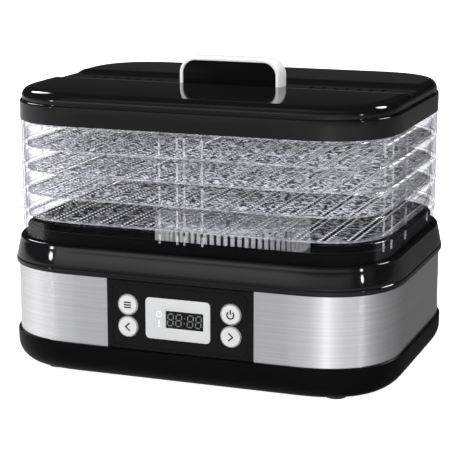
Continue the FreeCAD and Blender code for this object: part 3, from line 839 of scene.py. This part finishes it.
def make_marks():
    """Arrows, a power sign and a plain three-bar menu sign on the caps."""
    ink = 1.15 * MM
    for name in BUTTONS:
        mesh = bmesh.new()
        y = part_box(name)[0].y + 0.2 * MM
        x, _, z = centre_of(name)
        if "arrow" in name:
            side = 1 if name == "left_arrow_button" else -1
            tail, tip = x + side * 1.7 * MM, x - side * 1.9 * MM
            stroke(mesh, [(tail, z + 3.2 * MM), (tip, z), (tail, z - 3.2 * MM)], ink, y)
        elif name == "power_button":
            stroke(mesh, arc_points((x, z - 0.3 * MM), 2.9 * MM, 125, 415, 28), ink, y)
            stroke(mesh, [(x, z + 4.0 * MM), (x, z + 0.2 * MM)], ink, y)
        else:
            for lift in (2.1, 0, -2.1):
                stroke(mesh, [(x - 3.1 * MM, z + lift * MM), (x + 3.1 * MM, z + lift * MM)], ink, y)
        place(as_object(mesh, name + "_mark", "ink"), name, "black_satin")


def make_display():
    """The light frame, the dark lens, four unlit digits and two faint signs."""
    low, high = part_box("display_frame")
    wl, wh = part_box("display_window")
    cx, cz = (low.x + high.x) / 2, (low.z + high.z) / 2
    wx, wz = (wl.x + wh.x) / 2, (wl.z + wh.z) / 2
    half_x, half_z = (high.x - low.x) / 2, (high.z - low.z) / 2
    hole_x, hole_z = (wh.x - wl.x) / 2 + 0.05 * MM, (wh.z - wl.z) / 2 + 0.05 * MM
    front, seat = low.y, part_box("control_panel")[0].y
    buried = seat + 2.4 * MM

    def around_frame(inset, bend, y):
        return rounded_ring(half_x - inset * MM, half_z - inset * MM, bend * MM, cx, y, cz)

    def around_window(inset, bend, y):
        return rounded_ring(hole_x - inset * MM, hole_z - inset * MM, bend * MM, wx, y, wz)

    surround, _ = stack([
        around_frame(1.7, 1.9, buried), around_frame(1.7, 1.9, seat), around_frame(0, 3.5, seat),
        around_frame(0, 3.5, front + 0.35 * MM), around_frame(0.15, 3.4, front + 0.12 * MM),
        around_frame(0.7, 2.9, front), around_window(-0.8, 0.9, front),
        around_window(0, 0.6, front + 0.35 * MM), around_window(0, 0.6, buried)], closed=True)
    place(as_object(surround, "display_surround", "frame grey", 30.0), "base", "light_grey", "display_frame")
    lens, _ = stack([around_window(0.05, 0.5, wh.y), around_window(0.05, 0.5, wl.y + 0.2 * MM),
                     around_window(0.25, 0.4, wl.y + 0.1 * MM)])
    place(as_object(lens, "display_lens", "lens", 25.0), "base", "smoked_window", "display_window")
    make_digits(wx, wz, wl.y + 0.1 * MM)
    make_signs(wl.x, wz, front)


def make_digits(cx, cz, y):
    """Four seven-segment figures and a colon, as unlit ghosts in the lens."""
    mesh = bmesh.new()
    width, height, lean, line, thick = 4.6 * MM, 9.6 * MM, 0.08, 0.8 * MM, 0.05 * MM
    for offset in (-11.9, -4.9, 4.9, 11.9):
        x = cx + offset * MM
        # corners 0 to 5 run left to right, from the top pair to the bottom pair
        corners = [Vector((x + u * width / 2 + v * height / 2 * lean, cz + v * height / 2))
                   for v in (1, 0, -1) for u in (-1, 1)]
        for a, b in ((0, 1), (2, 3), (4, 5), (0, 2), (2, 4), (1, 3), (3, 5)):
            ends = corners[a].lerp(corners[b], 0.14), corners[b].lerp(corners[a], 0.14)
            stroke(mesh, ends, line, y, thick)
    for lift in (-1, 1):
        x = cx + lift * 0.12 * MM
        z = cz + lift * 2.1 * MM
        stroke(mesh, [(x - line / 2, z), (x + line / 2, z)], line, y, thick)
    place(as_object(mesh, "display_digits", "unlit segment"), "base", "component_black")


def make_signs(window_left, cz, y):
    """A clock and a thermometer, moulded faintly beside the lens."""
    mesh, thick = bmesh.new(), 0.06 * MM
    x = window_left - 5.6 * MM
    z = cz + 4.0 * MM
    stroke(mesh, arc_points((x, z), 2.3 * MM, 0, 345, 23), 0.5 * MM, y, thick, closed=True)
    stroke(mesh, [(x, z + 1.3 * MM), (x, z), (x + 1.0 * MM, z)], 0.4 * MM, y, thick)
    z = cz - 4.1 * MM
    stroke(mesh, [(x, z + 2.6 * MM), (x, z - 1.2 * MM)], 1.1 * MM, y, thick)
    stroke(mesh, arc_points((x, z - 1.6 * MM), 0.65 * MM, 0, 330, 11), 1.2 * MM, y, thick, closed=True)
    place(as_object(mesh, "display_signs", "pale ink"), "base", "light_grey")


# ---- fan cover ----------------------------------------------------------------------------
def make_fan_cover():
    """The round turret: a ribbed wall, a foot ring and a slotted top."""
    low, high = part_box("fan_cover")
    radius, bottom, top = high.x, low.z, high.z
    ribs = sizes().cover_ribs
    rib = bmesh.new()
    width = 2 * math.pi * radius / ribs * 0.58
    box_mesh(rib, (-2.4 * MM, -width / 2, bottom + 2 * MM), (0, width / 2, top - 4 * MM))
    bmesh.ops.bevel(rib, geom=[e for e in rib.edges if abs(e.verts[0].co.z - e.verts[1].co.z) > 1 * MM],
                    offset=0.5 * MM, segments=2, affect="EDGES")
    ribs_piece, white = as_object(rib, "fan_cover_ribs", "white plastic", 40.0), MATERIALS["white plastic"]
    use_tree(ribs_piece, TREES["ring"], Count=ribs, Radius=radius - 0.1 * MM, Material=white)
    bake_modifiers(ribs_piece)
    eye, inner = 20 * MM, radius - 2.4 * MM
    cap = [(eye, top - 2.2 * MM), (radius - 3 * MM, top - 2.2 * MM), (inner, top - 3 * MM),
           (inner, top - 4.4 * MM), (radius - 0.3 * MM, top - 4.4 * MM), (radius, top - 4.1 * MM),
           (radius, top - 3 * MM), (radius - 0.9 * MM, top - 0.9 * MM), (radius - 3 * MM, top), (eye, top)]
    turret = as_object(lathe(cap, 144), "fan_cover_turret", "white plastic")
    foot = lathe([(inner, bottom), (radius, bottom), (radius, bottom + 2.6 * MM),
                  (radius - 0.3 * MM, bottom + 3 * MM), (inner, bottom + 3 * MM)], 144, closed=True)
    place(as_object(foot, "fan_cover_foot", "white plastic"), "base", "white_gloss", "fan_cover")
    slot = bmesh.new()
    box_mesh(slot, (-16 * MM, -1.5 * MM, top - 6 * MM), (16 * MM, 1.5 * MM, top + 2 * MM))
    cutter = as_object(slot, "turret cutter", "white plastic")
    use_tree(cutter, TREES["ring"], Count=24, Radius=40 * MM, Material=white)
    bake_modifiers(cutter)
    cut_away(turret, cutter)
    for piece in (turret, ribs_piece):
        place(piece, "base", "white_gloss", "fan_cover")


# ---- trays --------------------------------------------------------------------------------
def tray_profile(floor):
    """The closed section of a tray frame: skirt, rim, coaming and ledge."""
    stand = floor - 18.6 * MM
    bead, skirt, skirt_in, coaming, coaming_in = (v * MM for v in (4.0, 4.8, 6.2, 7.6, 9.0))
    rim = floor + 0.8 * MM
    section = arc(bead + 0.5 * MM, stand + 0.5 * MM, 0.5 * MM, -90, 0, 3)
    section += arc(bead + 0.5 * MM, stand + 2.1 * MM, 0.5 * MM, 0, 90, 3)
    section += [(skirt, stand + 2.9 * MM), (skirt, floor - 3.5 * MM)]
    section += arc(bead + 0.6 * MM, floor - 2.5 * MM, 0.6 * MM, -90, 0, 3)
    section += arc(bead + 0.6 * MM, rim - 0.6 * MM, 0.6 * MM, 0, 90, 3)
    section += [(coaming - 0.2 * MM, rim), (coaming, rim + 0.3 * MM)]
    section += arc(coaming + 0.5 * MM, floor + 11.5 * MM, 0.5 * MM, 0, 90, 3)
    section += arc(coaming_in - 0.5 * MM, floor + 11.5 * MM, 0.5 * MM, 90, 180, 3)
    section += [(coaming_in, floor - 1.6 * MM), (coaming_in + 1.8 * MM, floor - 1.6 * MM)]
    section += [(coaming_in + 1.8 * MM, floor - 3.0 * MM), (skirt_in + 0.4 * MM, floor - 3.0 * MM)]
    section += [(skirt_in, floor - 3.4 * MM), (skirt_in, stand)]
    return section


def grip_bars(mesh, floor, low_tray):
    """Upright ribs on the skirt: a grip at the middle of the front and back, and pairs at the sides."""
    stand, top = floor - (10.6 if low_tray else 18.1) * MM, floor - 3.2 * MM
    ring = ring_at(4.8 * MM, stand)
    spots = [(Vector((x * MM, side * (BAND_HIGH.y - 4.8 * MM))), Vector((0, side)))
             for x in (-18, -3, 3, 18) for side in (-1, 1)]
    chain, normals = ring[:row_count()], [pair[1] for pair in plan()[:row_count()]]
    for y in (-84, -72, -38, 38, 72, 84):
        nearest = min(range(len(chain)), key=lambda k: abs(chain[k].y - y * MM))
        for side in (-1, 1):
            spots.append((Vector((side * chain[nearest].x, chain[nearest].y)),
                          Vector((side * normals[nearest].x, normals[nearest].y))))
    for spot, normal in spots:
        turn = Matrix.Rotation(math.atan2(normal.y, normal.x), 4, "Z")
        rib = box_mesh(mesh, (-0.4 * MM, -0.9 * MM, stand), (0.75 * MM, 0.9 * MM, top))
        bmesh.ops.transform(mesh, matrix=Matrix.Translation((spot.x, spot.y, 0)) @ turn, verts=rib)


def make_tray(name):
    """One tray: its moulded frame, its grip bars and its mesh floor."""
    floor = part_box(name + "_mesh")[1].z
    mesh, _ = shell(tray_profile(floor))
    place(as_object(mesh, name + "_wall", "clear wall", 40.0), name, "clear_plastic", name + "_frame")
    bars = bmesh.new()
    grip_bars(bars, floor, name == TRAYS[0])
    bmesh.ops.bevel(bars, geom=bars.edges[:], offset=0.25 * MM, segments=1, affect="EDGES")
    place(as_object(bars, name + "_grips", "clear rib", 40.0), name, "clear_plastic")
    make_grille(name, floor)


def make_grille(name, floor):
    """Strips of short slats between pairs of beams, tied together by long slats, with pips on top."""
    edge = ring_at(9.6 * MM, floor)
    slat_z, beam_z = floor - 1.0 * MM, floor - 1.05 * MM
    slats, beams, pips = [], [], []
    pitch, strip = sizes().slat_pitch, sizes().beam_pitch
    half = strip * 0.37
    rows = int((BAND_HIGH.y - 12 * MM) / pitch)
    columns = int((BAND_HIGH.x - 12 * MM) / strip)
    for column in range(-columns, columns + 1):
        for x in (column * strip - half, column * strip + half):
            if abs(x) < BAND_HIGH.x - 12 * MM:
                y = depth_at(edge, x)
                beams.append(((x, -y, beam_z), (x, y, beam_z)))
    for row in range(-rows, rows + 1):
        y = row * pitch
        reach = reach_at(edge, y)
        if row % 4 == 0:
            slats.append(((-reach, y, slat_z), (reach, y, slat_z)))
        for column in range(-columns, columns + 1):
            low, high = max(column * strip - half, -reach), min(column * strip + half, reach)
            if high - low < 2 * MM:
                continue
            if row % 4:
                slats.append(((low, y, slat_z), (high, y, slat_z)))
            pips += [(x, y, floor - 0.45 * MM) for x in (low, high) if abs(x) < reach - 1 * MM]
    finish = MATERIALS["low lattice" if name == TRAYS[0] else "clear lattice"]
    for label, lines, width, height in (("_slats", slats, 0.55 * MM, sizes().slat_width),
                                        ("_beams", beams, 0.65 * MM, sizes().beam_width)):
        piece = wire_object(name + label, lines, finish)
        use_tree(piece, TREES["bars"], Width=width, Height=height, Sides=6, Material=finish)
        place(bake_modifiers(piece, 50.0), name, "clear_plastic", name + "_mesh")
    # the pips get a near-white colour, a painted highlight on clear plastic
    spots, white = bpy.data.meshes.new(name + "_pips"), MATERIALS["painted highlight pip"]
    spots.from_pydata(pips, [], [])
    piece = show(spots, name + "_pips", white)
    use_tree(piece, TREES["pips"], Radius=sizes().pip_radius, Height=0.45, Material=white)
    place(bake_modifiers(piece, 60.0), name, "clear_plastic", name + "_mesh")
    outside, inside, under = 9.1 * MM, 11.5 * MM, floor - 1.6 * MM
    border, _ = shell([(outside, floor), (outside, under), (inside, under), (inside, floor)])
    place(as_object(border, name + "_border", "clear rib", 40.0), name, "clear_plastic", name + "_mesh")


def wire_object(name, lines, finish):
    """A drawing of separate straight edges."""
    data = bpy.data.meshes.new(name)
    ends = [end for line in lines for end in line]
    data.from_pydata(ends, [(k, k + 1) for k in range(0, len(ends), 2)], [])
    return show(data, name, finish)


# ---- lid and handle -----------------------------------------------------------------------
TROUGH_FRONT, TROUGH_BACK = (-21 * MM, -11 * MM), (30 * MM, 36 * MM)


def trough_height(y):
    """The lid's top height across its depth: the channel under the handle is lower."""
    top, low = LID_HIGH.z, HANDLE_LOW.z
    front = (y - TROUGH_FRONT[0]) / (TROUGH_FRONT[1] - TROUGH_FRONT[0])
    back = (TROUGH_BACK[1] - y) / (TROUGH_BACK[1] - TROUGH_BACK[0])
    share = max(0.0, min(front, back, 1.0))
    share = share * share * (3 - 2 * share)
    return top + (low - top) * share


def make_lid():
    """Rim, black gap and crown, hollow below, with a channel and two rows of vents on top."""
    inset = BAND_HIGH.x - LID_HIGH.x
    bottom, rim, neck, top = LID_LOW.z, 223.3 * MM, 225 * MM, LID_HIGH.z
    roll, ceiling = 7.5 * MM, 229 * MM
    crown = inset + 1.6 * MM
    profile = [(inset + 2.2 * MM, bottom), (inset + 0.4 * MM, bottom), (inset, bottom + 0.4 * MM)]
    profile += arc(inset + 1.2 * MM, rim - 1.2 * MM, 1.2 * MM, 0, 90, 5)
    profile += [(inset + 3.0 * MM, rim), (inset + 3.0 * MM, neck), (crown, neck)]
    profile += arc(crown + roll, top - roll, roll, 0, 90, 12)
    mesh, rings = shell(profile, closed=False)
    fill(mesh, rings[-1])
    soft = 1.2 * MM
    for vert in mesh.verts:
        limit = trough_height(vert.co.y)
        over = vert.co.z - (limit - soft)
        if over > 0 and limit < top:
            vert.co.z = limit - soft * math.exp(-over / soft)
    inside = [(inset + 2.2 * MM, rim - 3 * MM), (inset + 5.6 * MM, rim - 3 * MM),
              (inset + 5.6 * MM, ceiling - 3 * MM)]
    inside += arc(inset + 8.6 * MM, ceiling - 3 * MM, 3 * MM, 0, 90, 5)[1:]
    last = rings[0]
    for offset, z in inside:
        following = add_ring(mesh, ring_at(offset, z))
        join(mesh, last, following)
        last = following
    fill(mesh, last)
    lid = as_object(mesh, "lid_crown", "gloss black", 30.0)
    ends = arc_points((0, 3.5 * MM), 1.0 * MM, 0, 180, 6) + arc_points((0, -3.5 * MM), 1.0 * MM, 180, 360, 6)
    slot, _ = stack([[Vector((x, y + 5 * MM, z * MM)) for x, y in ends] for z in (225, 236)])
    count, pitch = sizes().vents_per_side, sizes().vent_pitch
    first = 67.7 * MM
    for start in (first, -first - (count - 1) * pitch):
        row = slot.copy()
        row.transform(Matrix.Translation((start, 0, 0)))
        cutter = as_object(row, "vent cutter", "gloss black")
        use_tree(cutter, TREES["row"], Count=count, Pitch=pitch, Material=MATERIALS["gloss black"])
        bake_modifiers(cutter)
        cut_away(lid, cutter, 30.0)
    slot.free()
    place(lid, "lid", "black_gloss", "lid_shell")


def arch(half, top, bend, foot, steps=10):
    """An arch in the XZ plane as points and outward normals, from the left foot to the right."""
    made = [(Vector((-half, foot)), Vector((-1, 0)))]
    for side, start in ((-1, 180), (1, 90)):
        centre = Vector((side * (half - bend), top - bend))
        for step in range(steps + 1):
            turn = math.radians(start - 90 * step / steps)
            normal = Vector((math.cos(turn), math.sin(turn)))
            made.append((centre + normal * bend, normal))
    made.append((Vector((half, foot)), Vector((1, 0))))
    return made


def make_handle():
    """A white arch over a black core."""
    half, top, foot, deep = HANDLE_HIGH.x, HANDLE_HIGH.z, HANDLE_LOW.z, HANDLE_HIGH.y
    thick, edge = 3.0 * MM, 0.9 * MM
    section = []
    for side_y, side_d, start in ((1, 1, 0), (-1, 1, 90), (-1, -1, 180), (1, -1, 270)):
        for step in range(5):
            turn = math.radians(start + 90 * step / 4)
            section.append((side_y * (deep - edge) + edge * math.cos(turn),
                            -thick / 2 + side_d * (thick / 2 - edge) + edge * math.sin(turn)))
    band, _ = stack([
        [Vector((point.x + normal.x * out, y, point.y + normal.y * out)) for y, out in section]
        for point, normal in arch(half, top, 14 * MM, foot)])
    place(as_object(band, "handle_arch", "white plastic", 40.0), "lid", "white_gloss", "handle_band")
    face = deep - 0.5 * MM
    core, _ = stack([
        [Vector((point.x - normal.x * shrink, y, point.y - normal.y * shrink))
         for point, normal in arch(half - thick, top - thick, 11 * MM, foot)]
        for y, shrink in ((-face, 1.2 * MM), (0.5 * MM - face, 0.0), (face - 0.5 * MM, 0.0), (face, 1.2 * MM))])
    place(as_object(core, "handle_grip_core", "satin black", 30.0), "lid", "black_satin", "handle_core")


# ---- stage --------------------------------------------------------------------------------
def area_light(name, place_at, aim_at, width, height, power):
    data = bpy.data.lights.new(name, "AREA")
    data.shape = "RECTANGLE"
    data.size, data.size_y, data.energy = width, height, power
    lamp = bpy.data.objects.new(name, data)
    bpy.context.scene.collection.objects.link(lamp)
    lamp.location = place_at
    lamp.visible_glossy = False
    lamp.rotation_euler = (Vector(aim_at) - Vector(place_at)).to_track_quat("-Z", "Y").to_euler()
    return lamp


# bearing in degrees and brightness of the boxes round the object, below and above eye level
ROUND_THE_STUDIO = (
    (-180, 0.25), (-144, 0.70), (-117, 0.76), (-91, 0.90), (-74, 1.00), (-60, 0.92), (-45, 0.66),
    (-31, 0.58), (-26, 0.52), (-25, 0.43), (-19, 0.40), (-18, 0.52), (-13, 0.57), (-4, 0.66), (7, 0.93),
    (14, 1.2), (25, 0.90), (40, 0.73), (57, 0.69), (75, 0.56), (93, 0.40), (110, 0.28), (127, 0.21),
    (142, 0.18), (165, 0.135), (180, 0.13),
)
ROUND_THE_TOP = (
    (-180, 0.25), (-120, 0.25), (-80, 0.05), (-50, 0.03), (-41, 0.05), (-38, 0.55), (-20, 0.48), (-10, 0.34),
    (5, 0.27), (30, 0.24), (45, 0.18), (56, 0.04), (75, 0.04), (80, 0.12), (100, 0.15), (180, 0.13),
)
# sine of the height and brightness, in front of the object and behind it
UP_THE_FRONT = (
    (-1.0, 0.6), (-0.4, 1.0), (-0.06, 1.0), (0.02, 1.6), (0.14, 3.4), (0.19, 3.8), (0.23, 0.7),
    (0.42, 0.5), (0.62, 0.5), (0.72, 1.3), (0.86, 1.3), (0.94, 0.03), (1.0, 0.02),
)
UP_THE_BACK = (
    (-1.0, 0.6), (-0.3, 1.0), (-0.02, 1.0), (0.05, 0.20), (0.118, 0.19), (0.128, 0.14), (0.1345, 0.095),
    (0.1375, 0.03), (0.18, 0.03), (0.3, 0.08), (0.6, 0.06), (1.0, 0.02),
)
# direction, cosine of the angular radius and brightness of the small bare lamps
SMALL_LAMPS = (
    ((-0.702, -0.707, 0.11), 0.9989, 45.0), ((0.922, -0.374, 0.13), 0.9989, 45.0),
    ((-0.661, 0.427, 0.618), 0.985, 22.0), ((0.525, 0.597, 0.607), 0.985, 22.0),
)


def ramp_of(tree, value, stops, low, high):
    """The brightness at this value, on a ramp of (value, brightness) stops between low and high."""
    ramp = add(tree, "ShaderNodeValToRGB", {0: value})
    elements = ramp.color_ramp.elements
    while len(elements) > 1:
        elements.remove(elements[-1])
    for k, (position, bright) in enumerate(stops):
        share = (position - low) / (high - low)
        stop = elements.new(share) if k else elements[0]
        stop.position = share
        stop.color = (bright, bright, bright * 1.01, 1)
    return ramp.outputs[0]


def vector_maths(tree, operation, first, second):
    return add(tree, "ShaderNodeVectorMath", {0: first, 1: second}, operation=operation).outputs


def make_world():
    """White behind the object for the eye, and soft boxes round it for its reflections."""
    world = bpy.data.worlds.new("studio")
    world.use_nodes = True
    bpy.context.scene.world = world
    tree = world.node_tree
    where = add(tree, "ShaderNodeTexCoord").outputs["Generated"]
    x, y, z = add(tree, "ShaderNodeSeparateXYZ", {0: where}).outputs
    forward = maths(tree, "MULTIPLY", y, -1.0)
    bearing = maths(tree, "ARCTAN2", x, forward)
    turn = maths(tree, "MULTIPLY_ADD", bearing, 1 / (2 * math.pi), 0.5)
    below, above = (ramp_of(tree, turn, stops, -180, 180) for stops in (ROUND_THE_STUDIO, ROUND_THE_TOP))
    around = mixed(tree, spread(tree, z, 0.0, 1.0, -0.06, 0.0), below, above)
    # the rear boxes hang lower to the sides, so that their edge follows the lid's front edge
    drop = maths(tree, "MULTIPLY_ADD", maths(tree, "ABSOLUTE", bearing), -0.054, 0.148)
    lowered = maths(tree, "ADD", z, drop)
    front, rear = (ramp_of(tree, maths(tree, "MULTIPLY_ADD", height, 0.5, 0.5), stops, -1, 1)
                   for height, stops in ((z, UP_THE_FRONT), (lowered, UP_THE_BACK)))
    ahead = spread(tree, forward, 0.0, 1.0, -0.1, 0.25)
    level = add(tree, "ShaderNodeMix", {"Factor": ahead, 2: rear, 3: front})
    shine = add(tree, "ShaderNodeVectorMath", operation="SCALE")
    feed(tree, shine, {0: around, "Scale": level.outputs[0]})
    total = shine.outputs[0]
    for aim, edge, bright in SMALL_LAMPS:
        near = vector_maths(tree, "DOT_PRODUCT", where, Vector(aim).normalized())["Value"]
        glow = spread(tree, near, 0.0, bright, edge, (1.0 + edge) / 2, "SMOOTHSTEP")
        total = vector_maths(tree, "ADD", total, glow)[0]
    back = tree.nodes["Background"]
    feed(tree, back, {"Color": total})
    seen = add(tree, "ShaderNodeBackground", {"Color": (1, 1, 1, 1)})
    ray = add(tree, "ShaderNodeLightPath").outputs
    mix = add(tree, "ShaderNodeMixShader", {
        0: maths(tree, "MAXIMUM", ray["Is Camera Ray"], ray["Is Transmission Ray"]),
        1: back.outputs[0], 2: seen.outputs[0]})
    feed(tree, tree.nodes["World Output"], {"Surface": mix.outputs[0]})


def make_floor():
    data, size = bpy.data.meshes.new("floor"), 6.0
    corners = [(-size, -size, 0), (size, -size, 0), (size, size, 0), (-size, size, 0)]
    data.from_pydata(corners, [], [(0, 1, 2, 3)])
    material, tree, shader = new_material("studio floor")
    pale = tuple(colours().floor)
    tint(tree, shader, noise(tree, 3.0), shaded(pale, 0.99), shaded(pale, 1.01))
    feed(tree, shader, {
        "Emission Color": (*pale, 1), "Roughness": 0.9, "Specular IOR Level": 0.0,
        "Emission Strength": add(tree, "ShaderNodeLightPath").outputs["Is Camera Ray"]})
    floor = show(data, "floor", material)
    floor.visible_glossy = False


CAMERA_AT = Vector((0.4671, -1.2762, 0.4099))
CAMERA_AZIMUTH, CAMERA_ELEVATION, CAMERA_LENS = 20.2, 12.61, 127.4


def make_camera():
    data = bpy.data.cameras.new("camera")
    data.lens = CAMERA_LENS
    camera = bpy.data.objects.new("camera", data)
    bpy.context.scene.collection.objects.link(camera)
    camera.location = CAMERA_AT
    camera.rotation_euler = (math.radians(90 - CAMERA_ELEVATION), 0, math.radians(CAMERA_AZIMUTH))
    bpy.context.scene.camera = camera


def make_stage():
    make_world()
    make_floor()
    make_camera()
    area_light("key", (-1.2, -1.4, 1.9), (0, 0, 0.1), 1.2, 1.2, 35)
    area_light("front strip", (0.1, -2.0, 0.7), (0, 0, 0.1), 1.6, 0.5, 15)
    area_light("top", (0.1, 0.2, 2.0), (0, 0, 0), 1.6, 1.2, 20)
    area_light("right", (2.0, -0.4, 1.0), (0, 0, 0.1), 0.7, 1.0, 7)
    scene = bpy.context.scene
    scene.view_settings.view_transform = "Standard"
    scene.cycles.max_bounces = 24
    scene.cycles.transmission_bounces = 20
    scene.cycles.transparent_max_bounces = 96


# ---- operators ----------------------------------------------------------------------------
class DEHYDRATOR_OT_materials(bpy.types.Operator):
    """Make every finish and dress the carried-over pieces"""
    bl_idname = "dehydrator.materials"
    bl_label = "Finishes"

    def execute(self, context):
        make_materials()
        TREES.update(bars=bar_tree(), pips=pip_tree(), ring=ring_of_copies_tree(), row=row_of_copies_tree())
        finish_cad_nodes()
        return {"FINISHED"}


class DEHYDRATOR_OT_base(bpy.types.Operator):
    """Build the pan, the steel band and the shoulder housing"""
    bl_idname = "dehydrator.base"
    bl_label = "Base"

    def execute(self, context):
        make_pan()
        make_band()
        make_housing()
        return {"FINISHED"}


class DEHYDRATOR_OT_controls(bpy.types.Operator):
    """Build the control panel, its buttons and its display"""
    bl_idname = "dehydrator.controls"
    bl_label = "Control panel"

    def execute(self, context):
        make_panel()
        make_buttons()
        make_marks()
        make_display()
        return {"FINISHED"}


class DEHYDRATOR_OT_fan_cover(bpy.types.Operator):
    """Build the ribbed turret over the fan"""
    bl_idname = "dehydrator.fan_cover"
    bl_label = "Fan cover"

    def execute(self, context):
        make_fan_cover()
        return {"FINISHED"}


class DEHYDRATOR_OT_trays(bpy.types.Operator):
    """Build the five clear trays"""
    bl_idname = "dehydrator.trays"
    bl_label = "Trays"

    def execute(self, context):
        for name in TRAYS:
            make_tray(name)
        return {"FINISHED"}


class DEHYDRATOR_OT_lid(bpy.types.Operator):
    """Build the lid and its handle"""
    bl_idname = "dehydrator.lid"
    bl_label = "Lid and handle"

    def execute(self, context):
        make_lid()
        make_handle()
        return {"FINISHED"}


class DEHYDRATOR_OT_stage(bpy.types.Operator):
    """Set up the floor, the lights and the camera"""
    bl_idname = "dehydrator.stage"
    bl_label = "Stage"

    def execute(self, context):
        make_stage()
        return {"FINISHED"}


OPERATORS = (
    DEHYDRATOR_OT_materials, DEHYDRATOR_OT_base, DEHYDRATOR_OT_controls, DEHYDRATOR_OT_fan_cover,
    DEHYDRATOR_OT_trays, DEHYDRATOR_OT_lid, DEHYDRATOR_OT_stage,
)


class DEHYDRATOR_PT_panel(bpy.types.Panel):
    bl_label = "Dehydrator"
    bl_space_type = "VIEW_3D"
    bl_region_type = "UI"
    bl_category = "Dehydrator"

    def draw(self, context):
        for operator in OPERATORS:
            self.layout.operator(operator.bl_idname)
        for group in (context.scene.dehydrator_sizes, context.scene.dehydrator_colours):
            for name in group.__annotations__:
                self.layout.prop(group, name)


CLASSES = (DehydratorSizes, DehydratorColours, *OPERATORS, DEHYDRATOR_PT_panel)


def register():
    for item in CLASSES:
        bpy.utils.register_class(item)
    bpy.types.Scene.dehydrator_sizes = PointerProperty(type=DehydratorSizes)
    bpy.types.Scene.dehydrator_colours = PointerProperty(type=DehydratorColours)


def unregister():
    del bpy.types.Scene.dehydrator_colours
    del bpy.types.Scene.dehydrator_sizes
    for item in reversed(CLASSES):
        bpy.utils.unregister_class(item)


def main():
    register()
    bpy.ops.dehydrator.materials()
    bpy.ops.dehydrator.stage()
    bpy.ops.dehydrator.base()
    bpy.ops.dehydrator.controls()
    bpy.ops.dehydrator.fan_cover()
    bpy.ops.dehydrator.trays()
    bpy.ops.dehydrator.lid()


if __name__ == "__main__":
    main()
